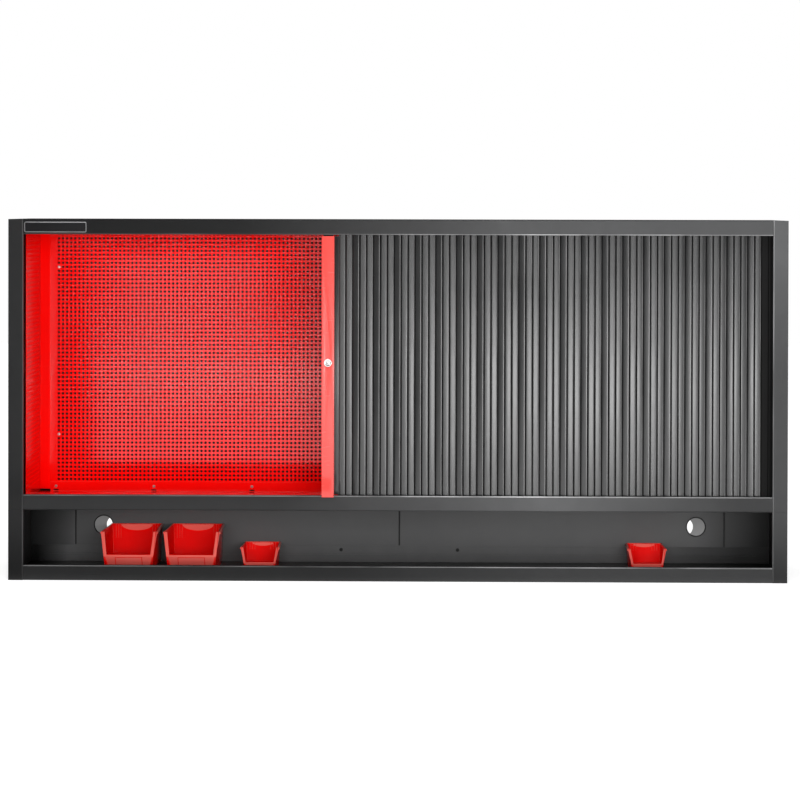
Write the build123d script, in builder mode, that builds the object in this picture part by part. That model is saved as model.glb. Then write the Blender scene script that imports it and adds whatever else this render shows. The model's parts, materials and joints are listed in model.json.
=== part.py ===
"""Roll front tool cabinet: a wide wall cabinet with a sliding slatted shutter over a shelf module.

Millimetres, +Z up, front towards -Y. The origin is the middle of the base. A depth is a distance
behind the front face of the frame.
"""
import os
from math import degrees, floor, pi

from build123d import *

# ---- carcass -------------------------------------------------------------------------------
width = 1500.0
depth = 300.0
upper_height = 560.0
lower_height = 136.0
face_width = 29.0           # front face of every post and rail
sheet = 1.2                 # folded steel of the carcass
return_depth = 12.0         # fold behind the inner edge of a front face
rear_flange = 15.0          # fold of a side panel across the back
rear_sheet = 1.2            # back panel of the upper cabinet
sheet_gap = 0.3             # clearance between separate sheets

# ---- red lining ----------------------------------------------------------------------------
liner_sheet = 1.0
liner_setback = 44.0        # front edge of the lining
liner_depth = 240.0         # face of the perforated back panel
liner_floor_drop = 16.0     # lining floor below the top edge of the middle rail
liner_flange = 19.0         # flanges that lap the back panel
liner_screw_inset = 31.5    # outer screws of the floor flange, from the side lining
liner_screw_count = 8
back_screw_inset = 37.0     # outer screws of the back panel, from the side lining
back_screw_low = 113.9      # their heights above the lining floor
back_screw_high = 450.1
screw_head_r = 3.0
screw_head_height = 1.8
screw_shank_r = 1.5
screw_shank_length = 5.0
hole_gap = 0.2              # radial clearance of a small screw in its hole
relief_width = 10.0         # slots at the bend, under the floor screws
relief_height = 2.5
relief_rise = 1.0

# ---- shutter and its tracks ----------------------------------------------------------------
rib_pitch = 13.3333
rib_width = 12.9
rib_thickness = 8.4
rib_wall = 1.5
rib_foot = 10.4             # width of a slat across its back
rib_bevel = 0.9             # bevel along both edges of a slat's face
lane_depth = 20.0           # middle of the shutter behind the front face
lane_spacing = 9.4          # from the moving run to the slats behind it
corner_radius = 36.0
side_lane_inset = 14.0      # middle of the shutter from the outside of the cabinet's side
back_lane_gap = 10.5        # middle of the shutter from the back panel
cover_overlap = 12.0        # slats behind the run, past its end when it is shut
stored_spare = 3            # slats that stay round the corner when it is shut
track_spare = 10.0          # back track past the end of the open shutter
track_sheet = 1.5
track_wall = 1.2
track_lip = 20.0            # height of a track's walls
track_clearance = 1.1       # beside the slats
rib_end_gap = 0.3           # between a slat's end and its track

# ---- lead rail and lock --------------------------------------------------------------------
opening_left = 576.0        # clear opening left of the lead rail as it stands
closed_gap = 0.5            # between lead rail and post when shut
lead_width = 23.0
lead_proud = 3.0            # in front of the frame
lead_wall = 1.6
lead_end_gap = 0.6          # above the middle rail
lead_top_gap = 2.7          # below the top rail
lead_plate = 2.6            # front plate that hangs over the middle rail
lead_overlap = 2.7
link_width = 8.5            # strip that ties the lead rail to the first slat
link_thickness = 1.8
shoe_gap = 0.2
shoe_spigot = 20.0
lock_rise = 256.0           # above the top edge of the middle rail
bezel_r = 7.8
bezel_thickness = 1.4
barrel_r = 6.0
barrel_length = 13.0
plug_r = 4.0
plug_gap = 0.3
plug_proud = 0.4
key_slot_length = 5.6
key_slot_width = 1.1
key_slot_depth = 5.0
nut_across = 16.4
nut_thickness = 4.0
cam_length = 22.0
cam_width = 9.0
cam_thickness = 2.0
cam_gap = 0.8               # behind the fold of the post
hook_reach = 3.8            # hook at the end of the cam, beside its arm
hook_height = 5.4
cam_slot_margin = 1.2
cam_screw_r = 3.5
cam_screw_height = 1.8
cam_screw_shank_r = 1.2
cam_screw_length = 4.0
strike_sheet = 1.6
strike_height = 46.0
strike_start = 3.0          # front edge of the strike plate
strike_end = 22.0
stop_thickness = 1.6

# ---- blank plate on the top rail -----------------------------------------------------------
plate_width = 120.0
plate_height = 20.2
plate_thickness = 1.2
plate_inset = 2.1           # from the post
plate_drop = 5.3            # from the top of the cabinet

# ---- shelf module --------------------------------------------------------------------------
shelf_back_flange = 16.0
module_seam = 0.3           # between the upper cabinet and the shelf module's posts
module_flange = 70.0        # top flanges that carry the upper cabinet
cover_sheet = 1.0
cover_rise = 34.0           # lower edge of the cover plates
cover_joint = 3.0           # open joint between neighbouring cover plates
cover_end_width = 64.0      # outer joints of the cover plates, from the inner edge of a post
cable_hole_r = 19.0
cable_hole_inset = 121.0    # from the inner edge of a post
cable_hole_rise = 75.0
cable_hole_shift = 25.0     # holes of the rear sheet, nearer to the middle
small_hole_r = 2.5
small_hole_offset = 118.0
small_hole_rise = 26.0
cover_screw_inset = 12.0
cover_screw_drop = 10.0
bolt_inset = 50.0           # from the outside of the cabinet's side
bolt_setback = 80.0         # first row behind the front face
bolt_spacing = 140.0
bolt_r = 3.0
bolt_hole_gap = 0.3
bolt_across = 10.0
bolt_head_height = 4.0
nut_height = 5.0
bolt_end = 1.5              # thread showing past the nut

# ---- wall fixing ---------------------------------------------------------------------------
wall_hole_r = 4.5
wall_hole_spacing = 720.0
wall_hole_inset = 60.0      # from the top and the bottom of the upper cabinet
rear_screw_spacing = 140.0
rear_screw_inset = 7.5

# ---- bins ----------------------------------------------------------------------------------
bin_wall = 1.8
bin_rim = 2.4               # flange round the top of a bin
bin_rim_height = 2.2
bin_gap = 0.3               # under a bin and behind it
big_bin_length = 165.0
big_bin_width = 109.0
big_bin_base = 96.0
big_bin_height = 76.8
big_bin_lip = 31.8
big_bin_slope = 22.0        # the low front leans in by this much
big_bin_taper = 9.5         # narrower at the rear by this much
big_bin_frame = 7.0         # frame beside the open front of a bin
big_bin_places = (190.5, 315.0)     # from the inner edge of the left post
small_bin_length = 110.0
small_bin_width = 76.0
small_bin_base = 66.0
small_bin_height = 40.8
small_bin_lip = 11.8
small_bin_slope = 7.0
small_bin_taper = 4.5
small_bin_frame = 4.0
small_bin_places = (444.0, 1213.0)

# ---- places worked out from the sizes ------------------------------------------------------
total_height = upper_height + lower_height
front = -depth / 2
back = depth / 2
opening_half = width / 2 - face_width
panel_half = width / 2 - sheet - sheet_gap
doorway_low = lower_height + face_width
doorway_high = total_height - face_width
bottom_inside = lower_height + sheet
top_inside = total_height - sheet
rear_inside = back - sheet - rear_sheet
liner_low = doorway_low - liner_floor_drop
liner_high = doorway_high + liner_floor_drop
liner_front = front + liner_setback
liner_back = front + liner_depth
lane = front + lane_depth
back_lane = rear_inside - back_lane_gap
side_lane = width / 2 - side_lane_inset
corner_x = side_lane - corner_radius
rib_low = bottom_inside + track_sheet + rib_end_gap
rib_high = top_inside - track_sheet - rib_end_gap
rib_half = rib_thickness / 2
lane_half = rib_half + track_clearance
lead_left = opening_left - opening_half
lead_right = lead_left + lead_width
lead_middle = (lead_left + lead_right) / 2
lead_front = front - lead_proud
lead_back = lane + rib_half
travel = opening_left - closed_gap
run_start = lead_right + link_width
front_rib_count = floor((corner_x - run_start) / rib_pitch)
run_end = run_start + front_rib_count * rib_pitch
stored_count = floor(travel / rib_pitch) + stored_spare
cover_lane = lane + lane_spacing
cover_rib_count = floor((travel + cover_overlap) / rib_pitch)
corner_arc = pi * corner_radius / 2
side_run = back_lane - lane - 2 * corner_radius
round_run = 2 * corner_arc + side_run
back_run = (front_rib_count + stored_count) * rib_pitch - round_run + track_spare
lock_z = doorway_low + lock_rise
cam_front = front + return_depth + cam_gap
shelf_back = rear_inside
bin_back = shelf_back - sheet - bin_gap
module_top = lower_height - module_seam
cover_top = module_top - sheet - sheet_gap
bin_floor = sheet + bin_gap
bolt_offset = width / 2 - bolt_inset
bolt_row_middle = front + bolt_setback + bolt_spacing / 2
cable_hole_offset = opening_half - cable_hole_inset
cover_split = opening_half - cover_end_width

os.makedirs("parts", exist_ok=True)


def save(shape, name):
    """Label one finished piece and write its file."""
    shape.label = name
    export_step(shape, f"parts/{name}.step")


def block(x0, y0, x1, y1, mode=Mode.ADD):
    """Draw one rectangle between two corners of the open sketch."""
    with Locations(((x0 + x1) / 2, (y0 + y1) / 2)):
        Rectangle(abs(x1 - x0), abs(y1 - y0), mode=mode)


# ---- upper cabinet: folded side panels, top and bottom panels, back ------------------------
def side_panel(side, low, high):
    """Make one side: outer wall, front post, fold behind the post and rear flange."""
    outer = side * width / 2
    inner = side * opening_half
    with BuildPart() as panel:
        with BuildSketch(Plane.XY.offset(low)):
            block(outer - side * sheet, front, outer, back)
            block(inner, front, outer, front + sheet)
            block(inner, front, inner + side * sheet, front + return_depth)
            block(outer - side * rear_flange, back - sheet, outer, back)
        extrude(amount=high - low)
    return panel.part


def rail_panel(outside, inward):
    """Make a top or bottom panel: flat sheet, front rail between the posts and its fold."""
    face_end = outside + inward * face_width
    rail_half = opening_half - sheet_gap
    sheet_end = back - sheet - sheet_gap
    with BuildPart() as panel:
        with BuildSketch(Plane.YZ.offset(-rail_half)):
            block(front, outside, front + sheet, face_end)
            block(front, face_end - inward * sheet, front + return_depth, face_end)
            block(front, outside, sheet_end, outside + inward * sheet)
        extrude(amount=2 * rail_half)
        with BuildSketch(Plane.XY.offset(min(outside, outside + inward * sheet))):
            block(-panel_half, front + return_depth + sheet_gap, panel_half, sheet_end)
        extrude(amount=sheet)
    return panel.part


def paired_holes(shape, plane, spans, rows, radius, thickness):
    """Drill two columns of equal holes, centred on a plane, through a sheet that starts at it."""
    with BuildPart() as drilled:
        add(shape)
        with BuildSketch(plane):
            with GridLocations(*spans, 2, rows):
                Circle(radius)
        extrude(amount=thickness, both=True, mode=Mode.SUBTRACT)
    return drilled.part


rear_screw_count = floor((upper_height - 2 * face_width) / rear_screw_spacing) + 1
rear_screw_plane = Plane.XZ.offset(-back) * Pos(0, lower_height + upper_height / 2)
rear_screw_spans = (width - 2 * rear_screw_inset, rear_screw_spacing)
screw_hole_r = screw_shank_r + hole_gap
bolt_plane = Plane.XY.offset(lower_height) * Pos(0, bolt_row_middle)
bolt_spans = (2 * bolt_offset, bolt_spacing)
bolt_hole_r = bolt_r + bolt_hole_gap

for side, side_name in ((-1, "left"), (1, "right")):
    upper_side = side_panel(side, lower_height, total_height)
    upper_side = paired_holes(upper_side, rear_screw_plane, rear_screw_spans, rear_screw_count,
                              screw_hole_r, 2 * sheet)
    save(upper_side, f"upper_{side_name}_side")

upper_bottom = rail_panel(lower_height, 1)
upper_bottom = paired_holes(upper_bottom, bolt_plane, bolt_spans, 2, bolt_hole_r, 2 * sheet)
save(upper_bottom, "upper_bottom_panel")
upper_top = rail_panel(total_height, -1)
save(upper_top, "upper_top_panel")

with BuildPart() as upper_rear:
    with BuildSketch(Plane.XZ.offset(-(back - sheet))):
        block(-panel_half, bottom_inside + sheet_gap, panel_half, top_inside - sheet_gap)
        with Locations((0, lower_height + upper_height / 2)):
            with GridLocations(wall_hole_spacing, upper_height - 2 * wall_hole_inset, 2, 2):
                Circle(wall_hole_r, mode=Mode.SUBTRACT)
            with GridLocations(*rear_screw_spans, 2, rear_screw_count):
                Circle(screw_hole_r, mode=Mode.SUBTRACT)
    extrude(amount=rear_sheet)
save(upper_rear.part, "upper_rear_panel")


def pan_screw(head_r, head_height, shank_r, shank_length):
    """Make one pan-head screw along Y: head in front of the origin, shank behind it."""
    with BuildPart(mode=Mode.PRIVATE) as screw:
        with BuildSketch(Plane.XZ):
            Circle(head_r)
        extrude(amount=head_height)
        fillet(screw.faces().sort_by(Axis.Y)[0].edges(), head_height / 3)
        with BuildSketch(Plane.XZ):
            Circle(shank_r)
        extrude(amount=-shank_length)
    return screw.part


small_screw = pan_screw(screw_head_r, screw_head_height, screw_shank_r, screw_shank_length)
rear_screw = pan_screw(screw_head_r, screw_head_height, screw_shank_r, rear_sheet + sheet)
with BuildPart() as rear_screws:
    with Locations(Plane.XZ.offset(-rear_inside) * Pos(0, lower_height + upper_height / 2)):
        with GridLocations(*rear_screw_spans, 2, rear_screw_count):
            add(rear_screw.rotate(Axis.X, -90))
save(rear_screws.part, "rear_panel_screws")

# ---- blank plate on the top rail -----------------------------------------------------------
with BuildPart() as name_plate:
    with BuildSketch(Plane.XZ.offset(-front)):
        with Locations((-opening_half + plate_inset + plate_width / 2,
                        total_height - plate_drop - plate_height / 2)):
            RectangleRounded(plate_width, plate_height, plate_thickness)
    extrude(amount=plate_thickness)
save(name_plate.part, "blank_plate")


# ---- red lining ----------------------------------------------------------------------------
screw_pitch = 2 * (opening_half - liner_screw_inset) / (liner_screw_count - 1)
flange_middle = liner_low + liner_flange / 2
back_screws = [(side * (opening_half - back_screw_inset), liner_low + rise)
               for side in (-1, 1) for rise in (back_screw_low, back_screw_high)]


def liner_tray(level, inward, carcass):
    """Make the lining's floor or ceiling: sheet, front leg to the carcass, rear flange."""
    flange_end = level + inward * liner_flange
    below = level - inward * liner_sheet
    inset = liner_sheet + sheet_gap
    with BuildPart() as tray:
        with BuildSketch(Plane.YZ.offset(-opening_half + sheet_gap)):
            block(liner_front, below, liner_back, level)
            block(liner_front, carcass, liner_front + liner_sheet, level)
        extrude(amount=2 * (opening_half - sheet_gap))
        with BuildSketch(Plane.YZ.offset(-opening_half + liner_flange + inset)):
            block(liner_back - liner_sheet, level, liner_back, flange_end)
        extrude(amount=2 * (opening_half - liner_flange - inset))
    return tray.part


liner_ceiling = liner_tray(liner_high, -1, top_inside)
save(liner_ceiling, "lining_ceiling")

with BuildPart() as liner_floor:
    add(liner_tray(liner_low, 1, bottom_inside))
    with BuildSketch(Plane.XZ.offset(-liner_back)):
        with Locations((0, flange_middle)):
            with GridLocations(screw_pitch, 1, liner_screw_count, 1):
                Circle(screw_hole_r)
        with Locations((0, liner_low + relief_rise + relief_height / 2)):
            with GridLocations(screw_pitch, 1, liner_screw_count, 1):
                Rectangle(relief_width, relief_height)
    extrude(amount=2 * liner_sheet, both=True, mode=Mode.SUBTRACT)
save(liner_floor.part, "lining_floor")

with BuildPart() as liner_rear:
    with BuildSketch(Plane.XZ.offset(-(liner_back + liner_sheet))):
        block(-opening_half, bottom_inside, opening_half, top_inside)
        with Locations((0, flange_middle)):
            with GridLocations(screw_pitch, 1, liner_screw_count, 1):
                Circle(screw_hole_r, mode=Mode.SUBTRACT)
        with Locations(*back_screws):
            Circle(screw_hole_r, mode=Mode.SUBTRACT)
    extrude(amount=liner_sheet)
save(liner_rear.part, "lining_back")

for side, side_name in ((-1, "left"), (1, "right")):
    inner = side * opening_half
    with BuildPart() as liner_side:
        with BuildSketch(Plane.XY.offset(liner_low + sheet_gap)):
            block(inner, liner_front, inner + side * liner_sheet, liner_back)
            block(inner - side * liner_flange, liner_back - liner_sheet, inner, liner_back)
        extrude(amount=liner_high - liner_low - 2 * sheet_gap)
    save(liner_side.part, f"lining_{side_name}_side")

with BuildPart() as floor_screws:
    with Locations((0, liner_back - liner_sheet, flange_middle)):
        with GridLocations(screw_pitch, 1, liner_screw_count, 1):
            add(small_screw)
save(floor_screws.part, "lining_floor_screws")

with BuildPart() as lining_screws:
    with Locations(*[(x, liner_back, z) for x, z in back_screws]):
        add(small_screw)
save(lining_screws.part, "lining_back_screws")


# ---- shutter tracks ------------------------------------------------------------------------
def front_track(level, inward):
    """Make the straight channel along the doorway, wide enough for both lanes."""
    near = lane - lane_half - track_wall
    far = cover_lane + lane_half + track_wall
    lip = level + inward * track_lip
    with BuildPart() as track:
        with BuildSketch(Plane.YZ.offset(-opening_half)):
            block(near, level, far, level + inward * track_sheet)
            block(near, level, near + track_wall, lip)
            block(far - track_wall, level, far, lip)
        extrude(amount=opening_half + corner_x)
    return track.part


def return_track(level, inward):
    """Make the single channel round the corner, along the side and behind the back panel."""
    with BuildPart() as track:
        for lane_width, bottom, mode in ((2 * (lane_half + track_wall), 0, Mode.ADD),
                                         (2 * lane_half, track_sheet, Mode.SUBTRACT)):
            with BuildSketch(Plane.XY.offset(level + inward * bottom)):
                with BuildLine():
                    turn = RadiusArc((corner_x, lane), (side_lane, lane + corner_radius),
                                     -corner_radius)
                    side = Line(turn @ 1, (side_lane, back_lane - corner_radius))
                    turn = RadiusArc(side @ 1, (corner_x, back_lane), -corner_radius)
                    Line(turn @ 1, (corner_x - back_run, back_lane))
                trace(line_width=lane_width)
            extrude(amount=inward * (track_lip - bottom), mode=mode)
    return track.part


for level, inward, end_name in ((bottom_inside, 1, "bottom"), (top_inside, -1, "top")):
    save(front_track(level, inward), f"{end_name}_track_front")
    save(return_track(level, inward), f"{end_name}_track_return")

with BuildPart() as end_stops:
    for z0, z1 in ((bottom_inside + track_sheet, bottom_inside + track_lip),
                   (top_inside - track_lip, top_inside - track_sheet)):
        with BuildSketch(Plane.XY.offset(z0)):
            block(-opening_half, lane - lane_half, -opening_half + stop_thickness, lane + lane_half)
        extrude(amount=z1 - z0)
save(end_stops.part, "track_end_stops")


# ---- shutter slats -------------------------------------------------------------------------
with BuildPart(mode=Mode.PRIVATE) as slat:
    with BuildSketch(Plane.XY.offset(rib_low)):
        with BuildLine():
            Polyline((-rib_width / 2 + rib_bevel, -rib_half), (rib_width / 2 - rib_bevel, -rib_half),
                     (rib_width / 2, -rib_half + rib_bevel), (rib_width / 2, 0),
                     (rib_foot / 2, rib_half), (-rib_foot / 2, rib_half),
                     (-rib_width / 2, 0), (-rib_width / 2, -rib_half + rib_bevel), close=True)
        make_face()
        block(-rib_foot / 2 + rib_wall, -rib_half + rib_wall, rib_foot / 2 - rib_wall, rib_half,
              mode=Mode.SUBTRACT)
    extrude(amount=rib_high - rib_low)


def stored_place(run):
    """Give the place and turn of a slat that lies this far along the track past the corner."""
    if run < corner_arc:
        turn = run / corner_radius
        edge = Vector(0, -corner_radius).rotate(Axis.Z, degrees(turn))
        return "corner", Vector(corner_x, lane + corner_radius) + edge, degrees(turn)
    if run < corner_arc + side_run:
        return "side", Vector(side_lane, lane + corner_radius + run - corner_arc), 90
    if run < round_run:
        turn = (run - corner_arc - side_run) / corner_radius
        edge = Vector(corner_radius, 0).rotate(Axis.Z, degrees(turn))
        return "rear_corner", Vector(corner_x, back_lane - corner_radius) + edge, 90 + degrees(turn)
    return "back", Vector(corner_x - run + round_run, back_lane), 180


with BuildPart() as front_slats:
    with Locations(*[(run_start + (k + 0.5) * rib_pitch, lane) for k in range(front_rib_count)]):
        add(slat.part)
save(front_slats.part, "curtain_front_slats")

with BuildPart() as cover_slats:
    with Locations(*[(run_end - (k + 0.5) * rib_pitch, cover_lane) for k in range(cover_rib_count)]):
        add(slat.part)
save(cover_slats.part, "curtain_following_slats")

stored = {}
for k in range(stored_count):
    zone, place, turn = stored_place(run_end - corner_x + (k + 0.5) * rib_pitch)
    stored.setdefault(zone, []).append(Location(place, (0, 0, turn)))
for zone, places in stored.items():
    with BuildPart() as stored_slats:
        with Locations(*places):
            add(slat.part)
    save(stored_slats.part, f"curtain_{zone}_slats")


# ---- lead rail and lock --------------------------------------------------------------------
tube_low = doorway_low + lead_end_gap
tube_high = doorway_high - lead_top_gap
cam_slot = (cam_front - cam_slot_margin, cam_front + cam_thickness + cam_slot_margin)
plug_front = lead_front - bezel_thickness - plug_proud


def lock_section(y):
    """Give the plane across the lock's axis at this place, facing the front."""
    return Plane((lead_middle, y, lock_z), x_dir=(1, 0, 0), z_dir=(0, -1, 0))


with BuildPart() as lead_rail:
    with BuildSketch(Plane.XY.offset(tube_low)):
        block(lead_left, lead_front, lead_right, lead_back)
        block(lead_left + lead_wall, lead_front + lead_wall, lead_right - lead_wall,
              lead_back - lead_wall, mode=Mode.SUBTRACT)
        block(lead_right, lane - link_thickness / 2, run_start, lane + link_thickness / 2)
    extrude(amount=tube_high - tube_low)
    with BuildSketch(Plane.XY.offset(doorway_low - lead_overlap)):
        block(lead_left, lead_front, lead_right, lead_front + lead_plate)
    extrude(amount=lead_overlap + lead_end_gap)
    with BuildSketch(lock_section(lead_front)):
        Circle(barrel_r + hole_gap)
    extrude(amount=-lead_plate, mode=Mode.SUBTRACT)
    with BuildSketch(Plane.YZ.offset(lead_left - sheet_gap)):
        block(cam_slot[0], lock_z - cam_width / 2 - cam_slot_margin, cam_slot[1],
              lock_z + cam_length + cam_slot_margin)
    extrude(amount=lead_wall + 2 * sheet_gap, mode=Mode.SUBTRACT)
save(lead_rail.part, "lead_rail")

for shoe_name, z0, z1 in (("bottom", rib_low, tube_low + shoe_spigot),
                          ("top", tube_high - shoe_spigot, rib_high)):
    with BuildPart() as shoe:
        with BuildSketch(Plane.XY.offset(z0)):
            block(lead_left + lead_wall + shoe_gap, lane - rib_half,
                  lead_right - lead_wall - shoe_gap, lead_back - lead_wall - shoe_gap)
        extrude(amount=z1 - z0)
    save(shoe.part, f"lead_rail_{shoe_name}_shoe")

with BuildPart() as lock_barrel:
    with BuildSketch(lock_section(lead_front)):
        Circle(bezel_r)
    extrude(amount=bezel_thickness)
    fillet(lock_barrel.faces().sort_by(Axis.Y)[0].edges(), bezel_thickness / 2)
    with BuildSketch(lock_section(lead_front)):
        Circle(barrel_r)
    extrude(amount=-barrel_length)
    with BuildSketch(lock_section(lead_front)):
        Circle(plug_r + plug_gap)
    extrude(amount=barrel_length, both=True, mode=Mode.SUBTRACT)
save(lock_barrel.part, "lock_barrel")

with BuildPart() as lock_nut:
    with BuildSketch(lock_section(lead_front + lead_wall)):
        RegularPolygon(nut_across / 2, 6, major_radius=False)
        Circle(barrel_r + hole_gap, mode=Mode.SUBTRACT)
    extrude(amount=-nut_thickness)
save(lock_nut.part, "lock_nut")

with BuildPart() as lock_plug:
    with BuildSketch(lock_section(cam_front)):
        Circle(plug_r)
    extrude(amount=cam_front - plug_front)
    with BuildSketch(lock_section(plug_front)):
        Rectangle(key_slot_width, key_slot_length)
    extrude(amount=-key_slot_depth, mode=Mode.SUBTRACT)
    with BuildSketch(lock_section(cam_front)):
        Circle(cam_screw_shank_r + hole_gap)
    extrude(amount=cam_screw_length, mode=Mode.SUBTRACT)
save(lock_plug.part, "lock_plug")

with BuildPart() as lock_cam:
    with BuildSketch(lock_section(cam_front)):
        Circle(cam_width / 2)
        block(-cam_width / 2, 0, cam_width / 2, cam_length)
        block(-cam_width / 2 - hook_reach, cam_length - hook_height, 0, cam_length)
        Circle(cam_screw_shank_r + hole_gap, mode=Mode.SUBTRACT)
    extrude(amount=-cam_thickness)
save(lock_cam.part, "lock_cam")

cam_screw_shape = pan_screw(cam_screw_r, cam_screw_height, cam_screw_shank_r, cam_screw_length)
with BuildPart() as cam_screw:
    with Locations((lead_middle, cam_front + cam_thickness, lock_z)):
        add(cam_screw_shape.rotate(Axis.Z, 180))
save(cam_screw.part, "lock_cam_screw")

strike_face = -opening_half - sheet
with BuildPart() as strike_plate:
    with BuildSketch(Plane.YZ.offset(strike_face - strike_sheet)):
        block(front + strike_start, lock_z - strike_height / 2, front + strike_end,
              lock_z + strike_height / 2)
        block(cam_slot[0] + sheet_gap, lock_z - cam_width / 2 - cam_slot_margin,
              cam_slot[1], lock_z + cam_length - cam_slot_margin, mode=Mode.SUBTRACT)
    extrude(amount=strike_sheet)
save(strike_plate.part, "strike_plate")


# ---- shelf module --------------------------------------------------------------------------
for side, side_name in ((-1, "left"), (1, "right")):
    with BuildPart() as lower_side:
        add(side_panel(side, 0, module_top))
        with BuildSketch(Plane.XY.offset(module_top - sheet)):
            block(side * (width / 2 - module_flange), front + return_depth + sheet_gap,
                  side * width / 2, back)
        extrude(amount=sheet)
    drilled = paired_holes(lower_side.part, bolt_plane, bolt_spans, 2, bolt_hole_r, 2 * sheet)
    save(drilled, f"lower_{side_name}_side")

rail_half = opening_half - sheet_gap
with BuildPart() as lower_floor:
    with BuildSketch(Plane.YZ.offset(-rail_half)):
        block(front, 0, front + sheet, face_width)
        block(front, face_width - sheet, front + return_depth, face_width)
        block(front, 0, shelf_back, sheet)
        block(shelf_back - sheet, 0, shelf_back, shelf_back_flange)
    extrude(amount=2 * rail_half)
    with BuildSketch(Plane.XY):
        block(-panel_half, front + return_depth + sheet_gap, panel_half, shelf_back)
    extrude(amount=sheet)
save(lower_floor.part, "shelf_floor")

cover_screw_z = cover_top - cover_screw_drop
cover_edges = [(side * (cover_split + cover_joint / 2), side * panel_half) for side in (-1, 1)]
cover_edges += [(side * cover_joint / 2, side * (cover_split - cover_joint / 2)) for side in (-1, 1)]
cover_spans = sorted((min(pair), max(pair)) for pair in cover_edges)
cover_screw_x = [x for span in cover_spans
                 for x in (span[0] + cover_screw_inset, span[1] - cover_screw_inset)]

with BuildPart() as shelf_rear:
    with BuildSketch(Plane.XZ.offset(-(shelf_back + sheet))):
        block(-panel_half, 0, panel_half, cover_top)
        with Locations((0, cable_hole_rise)):
            with GridLocations(2 * (cable_hole_offset - cable_hole_shift), 1, 2, 1):
                Circle(cable_hole_r, mode=Mode.SUBTRACT)
        with Locations((0, small_hole_rise)):
            with GridLocations(2 * small_hole_offset, 1, 2, 1):
                Circle(small_hole_r, mode=Mode.SUBTRACT)
        with Locations(*[(x, cover_screw_z) for x in cover_screw_x]):
            Circle(screw_hole_r, mode=Mode.SUBTRACT)
    extrude(amount=sheet)
save(shelf_rear.part, "shelf_back")

for number, (x0, x1) in enumerate(cover_spans, start=1):
    with BuildPart() as cover_plate:
        with BuildSketch(Plane.XZ.offset(-shelf_back)):
            block(x0, cover_rise, x1, cover_top)
            with Locations((0, cable_hole_rise)):
                with GridLocations(2 * cable_hole_offset, 1, 2, 1):
                    Circle(cable_hole_r, mode=Mode.SUBTRACT)
            with Locations(*[(x, cover_screw_z) for x in cover_screw_x]):
                Circle(screw_hole_r, mode=Mode.SUBTRACT)
        extrude(amount=cover_sheet)
    save(cover_plate.part, f"cover_plate_{number}")

cover_screw = pan_screw(screw_head_r, screw_head_height, screw_shank_r, cover_sheet + sheet)
with BuildPart() as cover_screws:
    with Locations(*[(x, shelf_back - cover_sheet, cover_screw_z) for x in cover_screw_x]):
        add(cover_screw)
save(cover_screws.part, "cover_plate_screws")

bolt_low = Plane.XY.offset(module_top - sheet) * Pos(0, bolt_row_middle)
nut_low = Plane.XY.offset(bottom_inside) * Pos(0, bolt_row_middle)
with BuildPart() as module_bolts:
    with BuildSketch(bolt_low):
        with GridLocations(*bolt_spans, 2, 2):
            RegularPolygon(bolt_across / 2, 6, major_radius=False)
    extrude(amount=-bolt_head_height)
    with BuildSketch(bolt_low):
        with GridLocations(*bolt_spans, 2, 2):
            Circle(bolt_r)
    extrude(amount=bottom_inside - module_top + sheet + nut_height + bolt_end)
save(module_bolts.part, "module_bolts")

with BuildPart() as module_nuts:
    with BuildSketch(nut_low):
        with GridLocations(*bolt_spans, 2, 2):
            RegularPolygon(bolt_across / 2, 6, major_radius=False)
            Circle(bolt_r + hole_gap, mode=Mode.SUBTRACT)
    extrude(amount=nut_height)
save(module_nuts.part, "module_nuts")


# ---- bins ----------------------------------------------------------------------------------
def tapered(front_y, back_y, front_half, back_half):
    """Give a bin's outline in plan, narrower at the back than at the front."""
    with BuildSketch(Plane.XY, mode=Mode.PRIVATE) as plan:
        with BuildLine():
            Polyline((-front_half, front_y), (front_half, front_y), (back_half, back_y),
                     (-back_half, back_y), close=True)
        make_face()
    return plan.sketch


def bin_form(mouth, base_width, body_width, height, lip, slope, taper, inset):
    """Make the solid form of a bin's body, or of the space in it when it is inset by the wall."""
    low = bin_floor + inset
    top = bin_floor + height
    body_back = bin_back - bin_rim - inset
    lean = slope * (1 - inset / lip) + inset
    with BuildPart() as form:
        for level, half in ((low, base_width / 2 - inset), (top, body_width / 2 - inset)):
            with BuildSketch(Plane.XY.offset(level)):
                add(tapered(mouth, body_back, half, half - taper / 2))
        loft()
        with BuildSketch(Plane.YZ.offset(-body_width)):
            with BuildLine():
                Polyline((mouth + lean, low), (body_back, low), (body_back, top),
                         (mouth + inset, top), (mouth + inset, bin_floor + lip), close=True)
            make_face()
        extrude(amount=2 * body_width, mode=Mode.INTERSECT)
    return form.part


def open_front_bin(length, rim_width, base_width, height, lip, slope, taper, frame):
    """Make a thin-walled bin with a low leaning front and a flange round its top."""
    mouth = bin_back - length
    top = bin_floor + height
    body_width = rim_width - 2 * bin_rim
    body_back = bin_back - bin_rim
    rim_half = rim_width / 2
    space_half = body_width / 2 - bin_wall
    outside, space = [bin_form(mouth, base_width, body_width, height, lip, slope, taper, inset)
                      for inset in (0, bin_wall)]
    with BuildPart() as shell:
        add(outside)
        add(space, mode=Mode.SUBTRACT)
        with BuildSketch(Plane.XY.offset(top - bin_rim_height)):
            add(tapered(mouth, bin_back, rim_half, rim_half - taper / 2))
            add(tapered(mouth - bin_wall, body_back - bin_wall, space_half, space_half - taper / 2),
                mode=Mode.SUBTRACT)
        extrude(amount=bin_rim_height)
        with BuildSketch(Plane.XZ.offset(-(mouth + bin_wall))):
            with BuildLine():
                Polyline((-base_width / 2 + frame, bin_floor + lip),
                         (base_width / 2 - frame, bin_floor + lip),
                         (body_width / 2 - frame, top), (-body_width / 2 + frame, top), close=True)
            make_face()
        extrude(amount=bin_wall, mode=Mode.SUBTRACT)
    return shell.part


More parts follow.
